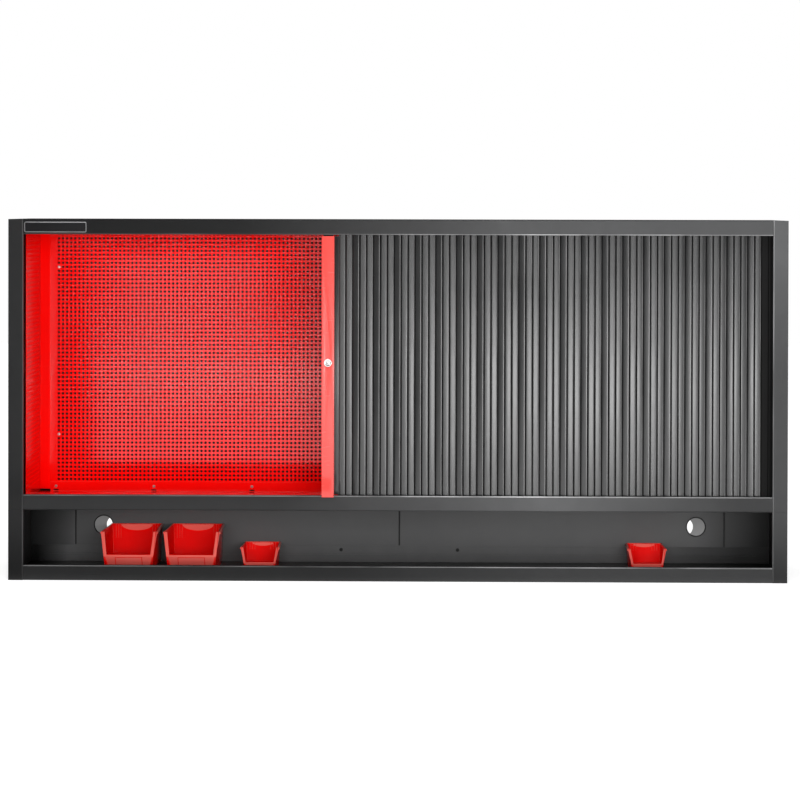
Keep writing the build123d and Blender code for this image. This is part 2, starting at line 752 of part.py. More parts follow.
big_bin = open_front_bin(big_bin_length, big_bin_width, big_bin_base, big_bin_height,
                         big_bin_lip, big_bin_slope, big_bin_taper, big_bin_frame)
small_bin = open_front_bin(small_bin_length, small_bin_width, small_bin_base, small_bin_height,
                           small_bin_lip, small_bin_slope, small_bin_taper, small_bin_frame)
for size_name, shape, places in (("big", big_bin, big_bin_places),
                                 ("small", small_bin, small_bin_places)):
    for number, place in enumerate(places, start=1):
        save(Pos(place - opening_half, 0, 0) * shape, f"{size_name}_bin_{number}")
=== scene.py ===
"""Roll front tool cabinet: finished sheet metal, lining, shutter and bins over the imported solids.

Sizes are in millimetres unless a name says otherwise. Front is -Y, up is +Z, and the origin is
the middle of the base. Every finished mesh is written in metres at the origin.
"""
import json
import logging
import math
from dataclasses import dataclass, replace
from enum import Enum
from typing import Any, Callable, Iterable, Sequence

import bmesh
import bpy
from mathutils import Matrix, Vector

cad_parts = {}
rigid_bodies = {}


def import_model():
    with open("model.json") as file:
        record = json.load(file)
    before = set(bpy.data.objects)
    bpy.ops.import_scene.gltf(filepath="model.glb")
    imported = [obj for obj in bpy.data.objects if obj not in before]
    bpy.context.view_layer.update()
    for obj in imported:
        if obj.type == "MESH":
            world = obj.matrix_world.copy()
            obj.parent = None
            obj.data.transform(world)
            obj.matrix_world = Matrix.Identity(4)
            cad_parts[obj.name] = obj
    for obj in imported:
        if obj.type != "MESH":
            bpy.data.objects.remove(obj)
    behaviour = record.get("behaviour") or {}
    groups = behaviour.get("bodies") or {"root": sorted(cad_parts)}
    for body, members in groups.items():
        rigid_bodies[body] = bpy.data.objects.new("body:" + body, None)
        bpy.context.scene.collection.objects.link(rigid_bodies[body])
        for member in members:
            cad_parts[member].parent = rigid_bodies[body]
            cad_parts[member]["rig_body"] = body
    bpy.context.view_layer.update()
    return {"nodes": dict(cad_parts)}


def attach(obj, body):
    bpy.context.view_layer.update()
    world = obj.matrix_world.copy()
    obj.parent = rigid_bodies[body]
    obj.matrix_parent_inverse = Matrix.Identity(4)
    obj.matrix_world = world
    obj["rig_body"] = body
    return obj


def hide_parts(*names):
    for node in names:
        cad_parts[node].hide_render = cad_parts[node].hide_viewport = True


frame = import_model()

LOG = logging.getLogger("cabinet")
METRE = 0.001
FOLD_MARGIN = 0.7
WELD = 0.002
SHARP_DEGREES = 32.0
QUARTER_TURN = 1.5708
Flat = tuple[float, float]
Spot = tuple[float, float, float]
Colour = tuple[float, float, float]
Socket = bpy.types.NodeSocket
HANDS = {"left": -1, "right": 1}


def shown(name: str, data: Any) -> bpy.types.Object:
    """Make an object of its data and link it to the scene.

    Args:
        name: Name of the object.
        data: Its mesh, lamp or camera data.

    Returns:
        The object.
    """
    made = bpy.data.objects.new(name, data)
    bpy.context.scene.collection.objects.link(made)
    return made


class Graph:
    """Adds and links the nodes of one tree."""

    def __init__(self, tree: bpy.types.NodeTree) -> None:
        """Work on a tree."""
        self.tree = tree

    def feed(self, socket: Socket, amount: Any) -> None:
        """Link an input to another socket, or set it to a plain value.

        Args:
            socket: The input.
            amount: The other socket, or the value.
        """
        if isinstance(amount, Socket):
            self.tree.links.new(amount, socket)
        else:
            socket.default_value = amount

    def node(self, kind: str, settings: dict[str, Any] | None = None,
             **inputs: Any) -> bpy.types.Node:
        """Add a node and feed its inputs.

        Args:
            kind: The node's type.
            settings: Its properties.
            **inputs: Inputs by name with underscores for spaces, each a socket or a value.

        Returns:
            The node.
        """
        made = self.tree.nodes.new(kind)
        for name, amount in (settings or {}).items():
            setattr(made, name, amount)
        for name, amount in inputs.items():
            self.feed(next(s for s in made.inputs
                           if s.enabled and s.name == name.replace("_", " ")), amount)
        return made

    def math(self, operation: str, first: Any, second: Any, clamp: bool = False) -> Socket:
        """Add a math node on two sockets or numbers.

        Args:
            operation: Name of the operation.
            first: First socket or number.
            second: Second socket or number.
            clamp: Whether the result is kept between 0 and 1.

        Returns:
            The result socket.
        """
        made = self.node("ShaderNodeMath", {"operation": operation, "use_clamp": clamp})
        self.feed(made.inputs[0], first)
        self.feed(made.inputs[1], second)
        return made.outputs[0]


# ---- finishes ------------------------------------------------------------------------------
class Grain(Enum):
    """How the fine texture of a finish runs: its stretch along X, Y and Z."""

    EVEN = (1.0, 1.0, 1.0)
    UPRIGHT = (1.0, 1.0, 0.02)
    ACROSS = (0.03, 1.0, 1.0)
    SCRATCHED = (0.12, 1.0, 1.0)


class Noise(Enum):
    """Cells per metre and octaves of the noises that every finish shares."""

    BROAD = (7.0, 3.0)
    MOTTLED = (38.0, 5.0)
    SCRATCHED = (260.0, 2.0)


class Band(Enum):
    """Noise values between which an effect goes from none to full."""

    GLOSS = (0.3, 0.7)
    SCUFFS = (0.62, 0.78)
    WEAR_AND_SHEEN = (0.35, 0.65)


@dataclass(frozen=True)
class Fade:
    """A change of tone along one axis, between two places in metres, which paints in light and
    shade.
    """

    clean: float
    fade_to: float
    share: float
    power: float = 1.0
    axis: str = "X"


class FinishGraph(Graph):
    """The node tree of one finish, on the piece's own coordinates."""

    def __init__(self, tree: bpy.types.NodeTree) -> None:
        """Work on a tree from the coordinates of its piece."""
        super().__init__(tree)
        self.place = self.node("ShaderNodeTexCoord").outputs["Object"]

    def noise(self, scale: float, detail: float, stretch: Colour = Grain.EVEN.value) -> Socket:
        """Add a noise texture.

        Args:
            scale: Noise cells per metre.
            detail: Octaves of finer noise.
            stretch: Factor on the coordinates along each axis.

        Returns:
            The noise value, from 0 to 1.
        """
        mapping = self.node("ShaderNodeMapping", Vector=self.place, Scale=stretch)
        return self.node("ShaderNodeTexNoise", Vector=mapping.outputs[0], Scale=scale,
                         Detail=detail).outputs["Fac"]

    def mix(self, factor: Socket, first: Socket | Colour, second: Colour) -> Socket:
        """Mix two colours.

        Args:
            factor: Where it is 0 the first colour shows, where it is 1 the second.
            first: The first colour, or the socket that gives it.
            second: The second colour.

        Returns:
            The mixed colour.
        """
        mixed = self.node("ShaderNodeMix", {"data_type": "RGBA"})
        self.feed(mixed.inputs[0], factor)
        self.feed(mixed.inputs[6], first if isinstance(first, Socket) else (*first, 1.0))
        self.feed(mixed.inputs[7], (*second, 1.0))
        return mixed.outputs[2]

    def span(self, value: Socket, start: float, end: float, first: float, last: float) -> Socket:
        """Map a value between two limits to the span of two others, clamped."""
        return self.node("ShaderNodeMapRange", Value=value, From_Min=start, From_Max=end,
                         To_Min=first, To_Max=last).outputs["Result"]

    def faded(self, colour: Socket, fade: Fade) -> Socket:
        """Let a colour go over into a lighter or darker tone along the piece, as painted light and
        shade.

        Args:
            colour: The colour where the fade starts.
            fade: Where the tone changes, and to which share of the colour.

        Returns:
            The colour all along.
        """
        axis = self.node("ShaderNodeSeparateXYZ", Vector=self.place).outputs[fade.axis]
        way = self.math("POWER", self.span(axis, fade.fade_to, fade.clean, 1.0, 0.0), fade.power)
        depth = self.span(way, 0.0, 1.0, 1.0, fade.share)
        scaled = self.node("ShaderNodeVectorMath", {"operation": "SCALE"}, Scale=depth)
        self.feed(scaled.inputs[0], colour)
        return scaled.outputs[0]

    def near(self, spot: Spot, full: float, none: float) -> Socket:
        """Give a mask round a spot on the piece, in metres.

        Args:
            spot: The middle of the mask.
            full: Distance from it up to which the mask is 1.
            none: Distance from which it is 0.

        Returns:
            The mask.
        """
        away = self.node("ShaderNodeVectorMath", {"operation": "DISTANCE"})
        self.feed(away.inputs[0], self.place)
        self.feed(away.inputs[1], spot)
        return self.span(away.outputs["Value"], full, none, 1.0, 0.0)


@dataclass(frozen=True)
class Finish:
    """One procedural finish: colour, gloss, fine bump, mottling, scuffs, lighter edges (wear on
    some finishes, a painted highlight on others), and fades and spots of painted light and shade.
    """

    name: str
    slot: str
    colour: Colour
    roughness: float
    metallic: float = 0.0
    specular: float = 0.5
    coat: float = 0.0
    coat_roughness: float = 0.08
    grain: Grain = Grain.EVEN
    grain_size: float = 1.4
    grain_depth: float = 0.04
    mottling: float = 0.08
    gloss_spread: float = 0.08
    scuffs: float = 0.25
    scuff_depth: float = 0.4
    # Colour and share of the marked edges: wear on most finishes, painted highlights on the carcass
    # folds and slat corners, and a painted reflection on the bins.
    wear_and_sheen: Colour = (0.3, 0.3, 0.3)
    wear_and_sheen_share: float = 0.25
    evenness: float = 0.25
    # Round patches in the edge colour that paint in light seen through holes.
    painted_light_spots: tuple[Spot, ...] = ()
    light_spot_reach: float = 0.026
    light_spot_edge: float = 0.92
    fades: tuple[Fade, ...] = ()

    def material(self) -> bpy.types.Material:
        """Give the finish's material, made the first time it is asked for."""
        return bpy.data.materials.get(self.name) or self._build()

    def _colour(self, graph: FinishGraph, broad: Socket) -> Socket:
        """Give the mottled colour with its lighter edges (wear, and on some finishes a painted
        highlight), its fades of painted light and shade and its spots of painted light.

        Args:
            graph: The finish's node tree.
            broad: Noise that says where the edges take their lighter colour.

        Returns:
            The colour.
        """
        low = tuple(c * (1.0 - self.mottling) for c in self.colour)
        high = tuple(min(1.0, c * (1.0 + self.mottling)) for c in self.colour)
        colour = graph.mix(graph.noise(*Noise.MOTTLED.value), low, high)
        edge = graph.node("ShaderNodeAttribute", {"attribute_name": "edge_wear_and_sheen"})
        patchy = graph.span(broad, *Band.WEAR_AND_SHEEN.value, self.evenness * self.wear_and_sheen_share, self.wear_and_sheen_share)
        # Marked edges take the edge colour: wear on most finishes, a painted highlight on the
        # carcass, slats and bins.
        colour = graph.mix(graph.math("MULTIPLY", edge.outputs["Fac"], patchy), colour, self.wear_and_sheen)
        # The fades paint in light and shade over the piece.
        for fade in self.fades:
            colour = graph.faded(colour, fade)
        # Round patches of the edge colour paint in light at given spots.
        for spot in self.painted_light_spots:
            lit_patch = graph.near(spot, self.light_spot_reach * self.light_spot_edge, self.light_spot_reach)
            colour = graph.mix(lit_patch, colour, self.wear_and_sheen)
        return colour

    def _build(self) -> bpy.types.Material:
        """Write the node tree of the finish.

        Returns:
            The new material.
        """
        material = bpy.data.materials.new(self.name)
        material.use_nodes = True
        material.diffuse_color = (*self.colour, 1.0)
        graph = FinishGraph(material.node_tree)
        broad = graph.noise(*Noise.BROAD.value)
        scratch = graph.noise(*Noise.SCRATCHED.value, Grain.SCRATCHED.value)
        fine = graph.noise(1.0 / (self.grain_size * METRE), 3.0, self.grain.value)
        half = self.gloss_spread / 2
        gloss = graph.span(broad, *Band.GLOSS.value, self.roughness - half,
                           self.roughness + half)
        rub = graph.span(scratch, *Band.SCUFFS.value, 0.0, self.scuffs * self.scuff_depth)
        bump = graph.node("ShaderNodeBump", Strength=1.0, Distance=self.grain_depth * METRE,
                          Height=fine)
        shader = material.node_tree.nodes["Principled BSDF"]
        for name, amount in (("Metallic", self.metallic), ("Specular IOR Level", self.specular),
                             ("Coat Weight", self.coat), ("Coat Roughness", self.coat_roughness),
                             ("Base Color", self._colour(graph, broad)),
                             ("Roughness", graph.math("ADD", gloss, rub, True)),
                             ("Normal", bump.outputs[0])):
            graph.feed(shader.inputs[name], amount)
        return material


# Carcass fronts carry painted light and shade in their tone; from the front bend backwards every
# piece has the plain body tone. The edge highlight tone sets the painted highlight on the folds
# from the tone of a front.
FRONT_BEND = (-0.149, -0.145)
BODY_TONE = 0.042
EDGE_HIGHLIGHT_TONE = 8.3


def carcass_paint(name: str, level: float, *fades: Fade) -> Finish:
    """Give the dark coat of one carcass piece, with painted light and shade on its front face.

    Args:
        name: Which piece it is for.
        level: Tone of its front face, which paints in how brightly that face is lit.
        *fades: How that tone changes over the front, as painted shade and light.

    Returns:
        The finish, which has the same tone on every piece from the front bend backwards.
    """
    wear_and_sheen = min(1.0, EDGE_HIGHLIGHT_TONE * level)
    body = Fade(*FRONT_BEND, BODY_TONE / level, axis="Y")
    return Finish(f"dark_powder_coat_painted_light_{name}", "dark_paint", (level, level * 1.01, level * 1.03),
                  0.48, specular=0.36, grain_size=1.6, grain_depth=0.03, mottling=0.12,
                  wear_and_sheen=(wear_and_sheen, wear_and_sheen, wear_and_sheen * 1.01), wear_and_sheen_share=1.0, fades=(*fades, body))


# Lit and shaded copies of one coat: the right side and middle rail are painted lighter and the left
# side and bottom rail darker. Painted shade falls towards the left end, the bottom and the right
# end of the middle rail.
CARCASS_LIT_AND_SHADED_PAINTS = {
    "left": carcass_paint("left", 0.0185, Fade(0.12, 0.0, 0.45, axis="Z")),
    "right": carcass_paint("right", 0.092, Fade(0.62, 0.40, 0.52, 0.8, "Z"),
                           Fade(0.13, 0.0, 0.4, axis="Z")),
    "top": carcass_paint("top", 0.068, Fade(0.20, -0.30, 0.115, 0.65)),
    "middle": carcass_paint("middle", 0.098, Fade(0.28, -0.22, 0.25, 0.7),
                            Fade(0.29, 0.66, 0.33)),
    "bottom": carcass_paint("bottom", 0.035, Fade(0.31, -0.10, 0.45)),
}
SHELF_PAINT = Finish("grey_powder_coat", "grey_paint", (0.082, 0.082, 0.083), 0.38,
                     grain_size=1.6, grain_depth=0.03, wear_and_sheen=(0.16, 0.16, 0.16), wear_and_sheen_share=0.4)
# Copies of the grey coat with painted shade: the third cover plate darkens towards the right joint
# and the end plates towards the outer ends.
NEAR_END_SHADED_PAINT = replace(SHELF_PAINT, name="grey_powder_coat_shaded",
                         fades=(Fade(0.585, 0.655, 0.35, 1.4),))
LEFT_END_SHADED_PAINT, RIGHT_END_SHADED_PAINT = (
    replace(SHELF_PAINT, name=f"end_plate_shaded_coat_{word}", colour=(0.085, 0.085, 0.086),
            specular=0.4, fades=(fade,))
    for word, fade in (("left", Fade(-0.660, -0.748, 0.08, 0.55)),
                       ("right", Fade(0.600, 0.735, 0.12, 0.55))))
# The rear sheet darkens towards both ends as painted shade. Its lighter round patches behind the
# cable holes are painted light seen through them.
REAR_SHEET_SHADED_PAINT = replace(LEFT_END_SHADED_PAINT, name="rear_sheet_paint", roughness=0.42, mottling=0.12,
                     wear_and_sheen=(0.30, 0.30, 0.30),
                     fades=(Fade(-0.675, -0.735, 0.04, 0.8), Fade(0.540, 0.690, 0.16, 0.6)),
                     painted_light_spots=((-0.600, 0.1476, 0.075), (0.600, 0.1476, 0.075)))
LINING_PAINT = Finish("gloss_red_paint", "red_paint", (0.90, 0.0015, 0.0008), 0.13,
                      specular=0.42, coat=0.45, grain_size=2.6, grain_depth=0.006,
                      mottling=0.04, gloss_spread=0.05, scuffs=0.15, wear_and_sheen=(0.95, 0.10, 0.08),
                      wear_and_sheen_share=0.5)
# The flanges wear a brighter copy of the lining red without its gloss; the raised colour paints in
# the light they catch.
FLANGE_PAINT = replace(LINING_PAINT, name="gloss_red_paint_flange", colour=(1.0, 0.0015, 0.0008),
                       specular=0.06, coat=0.0)
# The pale salmon tint in this red is partly painted reflection of the light in front of the rail.
RAIL_PAINT = Finish("rail_red_paint", "red_rail", (0.93, 0.075, 0.062), 0.26, specular=0.6,
                    coat=0.5, coat_roughness=0.12, grain=Grain.UPRIGHT, grain_size=0.9,
                    grain_depth=0.01, mottling=0.04, gloss_spread=0.05, scuffs=0.15,
                    wear_and_sheen=(0.95, 0.30, 0.26), wear_and_sheen_share=0.5)
# The lighter edge colour of the slats is a painted highlight on their right corners.
SLAT_PLASTIC = Finish("dark_slat_plastic", "slat_plastic", (0.027, 0.0272, 0.0276), 0.20,
                      specular=0.85, scuffs=0.03, grain=Grain.UPRIGHT, grain_size=0.5,
                      grain_depth=0.003, mottling=0.14, wear_and_sheen=(0.40, 0.40, 0.40), wear_and_sheen_share=0.6)
STORED_SLATS = Finish("matt_slat_backs", "slat_plastic", (0.010, 0.010, 0.010), 0.65,
                      specular=0.15, grain=Grain.UPRIGHT, grain_size=0.5, grain_depth=0.006,
                      mottling=0.14, gloss_spread=0.10)
# The salmon edge colour of the bins is a painted reflection on their rims, mouth frames, front
# fields and rounded edges.
BIN_PLASTIC = Finish("gloss_red_plastic", "red_plastic", (0.98, 0.001, 0.0005), 0.18,
                     specular=0.10, grain_size=0.7, grain_depth=0.006, mottling=0.05,
                     wear_and_sheen=(1.0, 0.16, 0.13), wear_and_sheen_share=1.0, evenness=0.8)
RUNNER_PLASTIC = Finish("black_runner_plastic", "runner_plastic", (0.018, 0.018, 0.018), 0.55,
                        specular=0.4, grain_size=0.6, grain_depth=0.01)
TRACK_PAINT = Finish("track_powder_coat", "track_steel", (0.018, 0.0185, 0.02), 0.5,
                     specular=0.35, grain_size=1.6, grain_depth=0.03)
SCREW_ZINC = Finish("bright_screw_zinc", "zinc_screws", (0.88, 0.88, 0.87), 0.30,
                    metallic=0.85, grain_size=0.3, grain_depth=0.006, mottling=0.05,
                    wear_and_sheen=(0.95, 0.95, 0.95))
STEEL_ZINC = Finish("zinc_plated_steel", "zinc_steel", (0.62, 0.63, 0.64), 0.36,
                    metallic=1.0, grain=Grain.ACROSS, grain_size=0.5, grain_depth=0.008,
                    wear_and_sheen=(0.8, 0.8, 0.8))
LOCK_NICKEL = Finish("nickel_plate", "lock_chrome", (0.84, 0.84, 0.83), 0.22, metallic=1.0,
                     grain_size=0.3, grain_depth=0.003, mottling=0.04, wear_and_sheen=(0.9, 0.9, 0.9))
PLATE_FIELD = Finish("plate_dark_field", "plate_black", (0.008, 0.008, 0.009), 0.30,
                     grain_size=0.8, grain_depth=0.006)
PLATE_RIM = Finish("plate_bright_rim", "plate_black", (0.62, 0.62, 0.63), 0.34, metallic=0.9,
                   grain=Grain.ACROSS, grain_size=0.4, grain_depth=0.004,
                   wear_and_sheen=(0.8, 0.8, 0.8))


# ---- mesh tools ----------------------------------------------------------------------------
class Shape:
    """A mesh that is put together in millimetres and then finished as one piece."""

    def __init__(self, name: str) -> None:
        """Start an empty mesh for the object of that name."""
        self.name = name
        self.mesh = bmesh.new()

    def prism(self, outline: Sequence[Sequence[float]], offset: Sequence[float]) -> None:
        """Add a closed prism.

        Args:
            outline: Corners of one flat end.
            offset: Vector from that end to the other.
        """
        step = Vector(offset)
        near = [self.mesh.verts.new(Vector(p)) for p in outline]
        far = [self.mesh.verts.new(Vector(p) + step) for p in outline]
        self.mesh.faces.new(near)
        self.mesh.faces.new(far[::-1])
        for k in range(len(near)):
            j = (k + 1) % len(near)
            self.mesh.faces.new((near[k], far[k], far[j], near[j]))

    def box(self, low: Sequence[float], high: Sequence[float]) -> None:
        """Add a box.

        Args:
            low: Its lowest corner.
            high: Its highest corner.
        """
        outline = [(low[0], low[1], low[2]), (high[0], low[1], low[2]),
                   (high[0], high[1], low[2]), (low[0], high[1], low[2])]
        self.prism(outline, (0.0, 0.0, high[2] - low[2]))

    def sweep(self, path: Sequence[Sequence[float]], profile: Sequence[Flat]) -> None:
        """Add a level strip that follows an open path with mitred corners.

        Args:
            path: Corners of the path, at one height.
            profile: Closed section, as (distance to the right of the path, height).
        """
        points = [Vector(p) for p in path]
        sides = [Vector((b.y - a.y, a.x - b.x, 0.0)).normalized()
                 for a, b in zip(points, points[1:])]
        rings = []
        for k, point in enumerate(points):
            first, second = sides[max(k - 1, 0)], sides[min(k, len(sides) - 1)]
            out = (first + second) / (1.0 + first.dot(second))
            rings.append([self.mesh.verts.new(point + out * u + Vector((0.0, 0.0, v)))
                          for u, v in profile])
        self.bridge(rings)
        self.mesh.faces.new(rings[0][::-1])
        self.mesh.faces.new(rings[-1])

    def bridge(self, rings: Sequence[Sequence[bmesh.types.BMVert]]) -> None:
        """Join each closed ring of corners, or single corner, to the next one with faces.

        Args:
            rings: The rings, all of one length but for single corners.
        """
        for near, far in zip(rings, rings[1:]):
            sides = max(len(near), len(far))
            for k in range(sides):
                j = (k + 1) % sides
                corners = (near[k % len(near)], near[j % len(near)], far[j % len(far)],
                           far[k % len(far)])
                self.mesh.faces.new(list(dict.fromkeys(corners)))

    def turned(self, radius: float, ahead: float, share: float) -> bmesh.types.BMVert:
        """Add a corner at a share of a full turn about the Y axis."""
        angle = 2.0 * math.pi * share
        return self.mesh.verts.new((radius * math.cos(angle), -ahead, radius * math.sin(angle)))

    def lathe(self, outline: Sequence[Flat], sides: int) -> None:
        """Add a turned form about the Y axis, its first and last point on the axis.

        Args:
            outline: Points as (radius, distance in front of the origin).
            sides: Number of facets round the axis.
        """
        self.bridge([[self.turned(radius, ahead, k / sides)
                      for k in range(sides if radius > 0.0 else 1)]
                     for radius, ahead in outline])

    def ring(self, outline: Sequence[Flat], sides: int) -> None:
        """Add a closed ring about the Y axis.

        Args:
            outline: Section, as (radius, distance in front of the origin).
            sides: Number of facets round the axis.
        """
        rings = [[self.turned(radius, ahead, k / sides) for radius, ahead in outline]
                 for k in range(sides)]
        self.bridge(rings + rings[:1])

    def merge_object(self, source: bpy.types.Object) -> None:
        """Take in the welded mesh of another object.

        Args:
            source: The object, which is in metres.
        """
        before = len(self.mesh.verts)
        self.mesh.from_mesh(source.data)
        self.mesh.verts.ensure_lookup_table()
        fresh = self.mesh.verts[before:]
        bmesh.ops.scale(self.mesh, vec=(1 / METRE,) * 3, verts=fresh)
        bmesh.ops.remove_doubles(self.mesh, verts=fresh, dist=WELD)

    def soften(self, width: float, segments: int = 2, angle: float = 35.0) -> None:
        """Round the sharp edges and mark them for the lighter edge colour, which is wear and on
        some finishes a painted highlight.

        Args:
            width: Width of the rounding.
            segments: Facets across the rounding.
            angle: Edges that turn by more than this many degrees are rounded.
        """
        sharp = [e for e in self.mesh.edges
                 if e.is_manifold and e.calc_face_angle(0.0) > math.radians(angle)]
        made = bmesh.ops.bevel(self.mesh, geom=sharp, offset=width, segments=segments,
                               profile=0.5, affect="EDGES", clamp_overlap=True)
        self.mark(made["faces"])

    def mark(self, faces: Iterable[bmesh.types.BMFace], amount: float = 1.0) -> None:
        """Mark faces for the lighter edge colour: wear, and on some finishes a painted highlight.

        Args:
            faces: The faces.
            amount: How strongly they take that colour, from 0 to 1.
        """
        faces = list(faces)
        layer = self.mesh.faces.layers.float.get("edge_wear_and_sheen")
        if layer is None:
            self.mesh.faces.index_update()
            places = [f.index for f in faces]
            layer = self.mesh.faces.layers.float.new("edge_wear_and_sheen")
            self.mesh.faces.ensure_lookup_table()
            faces = [self.mesh.faces[k] for k in places]
        for face in faces:
            face[layer] = amount

    def mark_near(self, near: Callable[[Vector], bool], amount: float = 1.0) -> None:
        """Mark the faces whose corners all pass a test on their place."""
        self.mark([f for f in self.mesh.faces if all(near(v.co) for v in f.verts)], amount)

    def place(self, matrix: Matrix) -> None:
        """Move everything added so far by a matrix."""
        bmesh.ops.transform(self.mesh, matrix=matrix, verts=self.mesh.verts)

    def written(self, recalculate: bool = True,
                joined: bpy.types.Mesh | None = None) -> bpy.types.Mesh:
        """Turn the shape into a mesh in metres.

        Args:
            recalculate: Whether its faces are turned outward again.
            joined: A mesh in metres that is joined to it as it is.

        Returns:
            The mesh.
        """
        if recalculate:
            bmesh.ops.recalc_face_normals(self.mesh, faces=self.mesh.faces)
        bmesh.ops.scale(self.mesh, vec=(METRE,) * 3, verts=self.mesh.verts)
        if joined:
            self.mesh.from_mesh(joined)
        data = bpy.data.meshes.new(self.name)
        self.mesh.to_mesh(data)
        self.mesh.free()
        return data

    def finish(self, finish: Finish, body: str = "cabinet", replaces: Sequence[str] = (),
               smooth: bool = False, recalculate: bool = True) -> bpy.types.Object:
        """Write the shape as an object, dress it and tie it to its body, as adopt does."""
        return adopt(self.name, self.written(recalculate), finish, body, replaces, smooth)

    def tool(self) -> bpy.types.Object:
        """Give the shape as an unseen object that a node tree can repeat."""
        return bpy.data.objects.new(self.name, self.written())


def dress(piece: bpy.types.Object, finish: Finish) -> None:
    """Give a piece its finish.

    Args:
        piece: The object.
        finish: The finish it wears.
    """
    piece.data.materials.clear()
    piece.data.materials.append(finish.material())
    LOG.info("%s: wears %s", piece.name, finish.name)


def adopt(name: str, data: bpy.types.Mesh, finish: Finish, body: str,
          replaces: Sequence[str] = (), smooth: bool = False) -> bpy.types.Object:
    """Make a piece of a finished mesh that is in metres.

    Args:
        name: Name of the object.
        data: Its mesh.
        finish: The finish it wears.
        body: The body it moves with.
        replaces: Solids it stands for.
        smooth: Whether its gentle edges are shaded smooth.

    Returns:
        The object.
    """
    if smooth:
        data.shade_smooth()
        data.set_sharp_from_angle(angle=math.radians(SHARP_DEGREES))
    piece = shown(name, data)
    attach(piece, body)
    dress(piece, finish)
    if replaces:
        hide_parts(*replaces)
    LOG.info("%s: %d faces, on %s", name, len(data.polygons), body)
    return piece


def softened(node: str, finish: Finish, width: float = 0.3, segments: int = 2,
             smooth: bool = False) -> bpy.types.Object:
    """Let a copy of a solid with rounded edges stand for it.

    Args:
        node: Name of the solid.
        finish: The finish it wears.
        width: Width of the rounding.
        segments: Facets across the rounding.
        smooth: Whether its gentle edges are shaded smooth.

    Returns:
        The finished copy.
    """
    shape = Shape(f"{node}_piece")
    shape.merge_object(frame["nodes"][node])
    shape.soften(width, segments)
    return shape.finish(finish, frame["nodes"][node]["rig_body"], (node,), smooth, False)


def folded_section(path: Sequence[Flat], sheet: float, bend: float, steps: int = 5) -> list[Flat]:
    """Give the closed outline of a folded sheet, with a narrow flat facet beside each fold.

    Args:
        path: Corners of the outer surface. The sheet lies to the left of it.
        sheet: Thickness of the sheet.
        bend: Outer radius of each fold.
        steps: Facets round each fold.

    Returns:
        The outline, once round.
    """
    points = [Vector(p) for p in path]
    ways = [(b - a).normalized() for a, b in zip(points, points[1:])]
    lefts = [Vector((-w.y, w.x)) for w in ways]
    outer, inner = [points[0]], [points[0] + lefts[0] * sheet]
    for k in range(1, len(points) - 1):
        first, second = lefts[k - 1], lefts[k]
        turn = math.atan2(ways[k - 1].cross(ways[k]), ways[k - 1].dot(ways[k]))
        mitre = (first + second) / (1.0 + first.dot(second))
        side = 1.0 if turn > 0.0 else -1.0
        near = bend if turn > 0.0 else bend - sheet
        centre = points[k] + mitre * (side * near)
        arc = [(math.cos(turn * step / steps), math.sin(turn * step / steps))
               for step in range(steps + 1)]
        spokes = [(first, ways[k - 1] * -FOLD_MARGIN),
                  *((Vector((first.x * c - first.y * s, first.x * s + first.y * c)),
                     Vector((0.0, 0.0))) for c, s in arc),
                  (second, ways[k] * FOLD_MARGIN)]
        for spoke, shift in spokes:
            outer.append(centre - spoke * (side * near) + shift)
            inner.append(centre - spoke * (side * (near - side * sheet)) + shift)
    outer.append(points[-1])
    inner.append(points[-1] + lefts[-1] * sheet)
    return [(p.x, p.y) for p in outer + inner[::-1]]


class NodeFactory(Graph):
    """Builds one Geometry Nodes tree with named inputs and turns its result into a mesh."""

    def __init__(self, name: str) -> None:
        """Start a tree.

        Args:
            name: Name of the tree.
        """
        super().__init__(bpy.data.node_groups.new(name, "GeometryNodeTree"))
        self.tree.interface.new_socket("Geometry", in_out="OUTPUT",
                                       socket_type="NodeSocketGeometry")
        self.source = self.tree.nodes.new("NodeGroupInput")
        self.values: dict[str, Any] = {}

    def value(self, name: str, kind: str, amount: Any) -> Socket:
        """Add a named input.

        Args:
            name: Name of the input.
            kind: Kind of socket, such as Float or Object.
            amount: What the modifier passes in.

        Returns:
            The socket inside the tree.
        """
        item = self.tree.interface.new_socket(name, in_out="INPUT",
                                              socket_type=f"NodeSocket{kind}")
        self.values[item.identifier] = amount
        return self.source.outputs[name]

    def repeated(self, tool: Shape, points: Socket, name: str, **inputs: Any) -> Socket:
        """Put a copy of a shape on every point, passed in through a named input."""
        return self.node("GeometryNodeInstanceOnPoints", Points=points,
                         Instance=self.shape(tool, name), **inputs).outputs[0]

    def shape(self, tool: Shape, name: str) -> Socket:
        """Give the geometry of a shape that comes in through a named input."""
        source = self.value(name, "Object", tool.tool())
        return self.node("GeometryNodeObjectInfo", Object=source).outputs["Geometry"]

    def run(self, geometry: Socket, finish: Finish, name: str) -> bpy.types.Mesh:
        """Realize and dress the geometry, and give it as a plain mesh.

        Args:
            geometry: The tree's result.
            finish: The finish it wears.
            name: Name of the mesh.

        Returns:
            The mesh, in metres.
        """
        coat = self.value("Finish", "Material", finish.material())
        real = self.node("GeometryNodeRealizeInstances", Geometry=geometry)
        dressed = self.node("GeometryNodeSetMaterial", Geometry=real.outputs[0], Material=coat)
        end = self.tree.nodes.new("NodeGroupOutput")
        self.tree.links.new(dressed.outputs[0], end.inputs[0])
        host = shown(f"{name}_host", bpy.data.meshes.new(f"{name}_host"))
        modifier = host.modifiers.new("Nodes", "NODES")
        modifier.node_group = self.tree
        for identifier, amount in self.values.items():
            modifier[identifier] = amount
        graph = bpy.context.evaluated_depsgraph_get()
        data = bpy.data.meshes.new_from_object(host.evaluated_get(graph))
        data.name = name
        host.modifiers.clear()
        bpy.data.objects.remove(host)
        return data


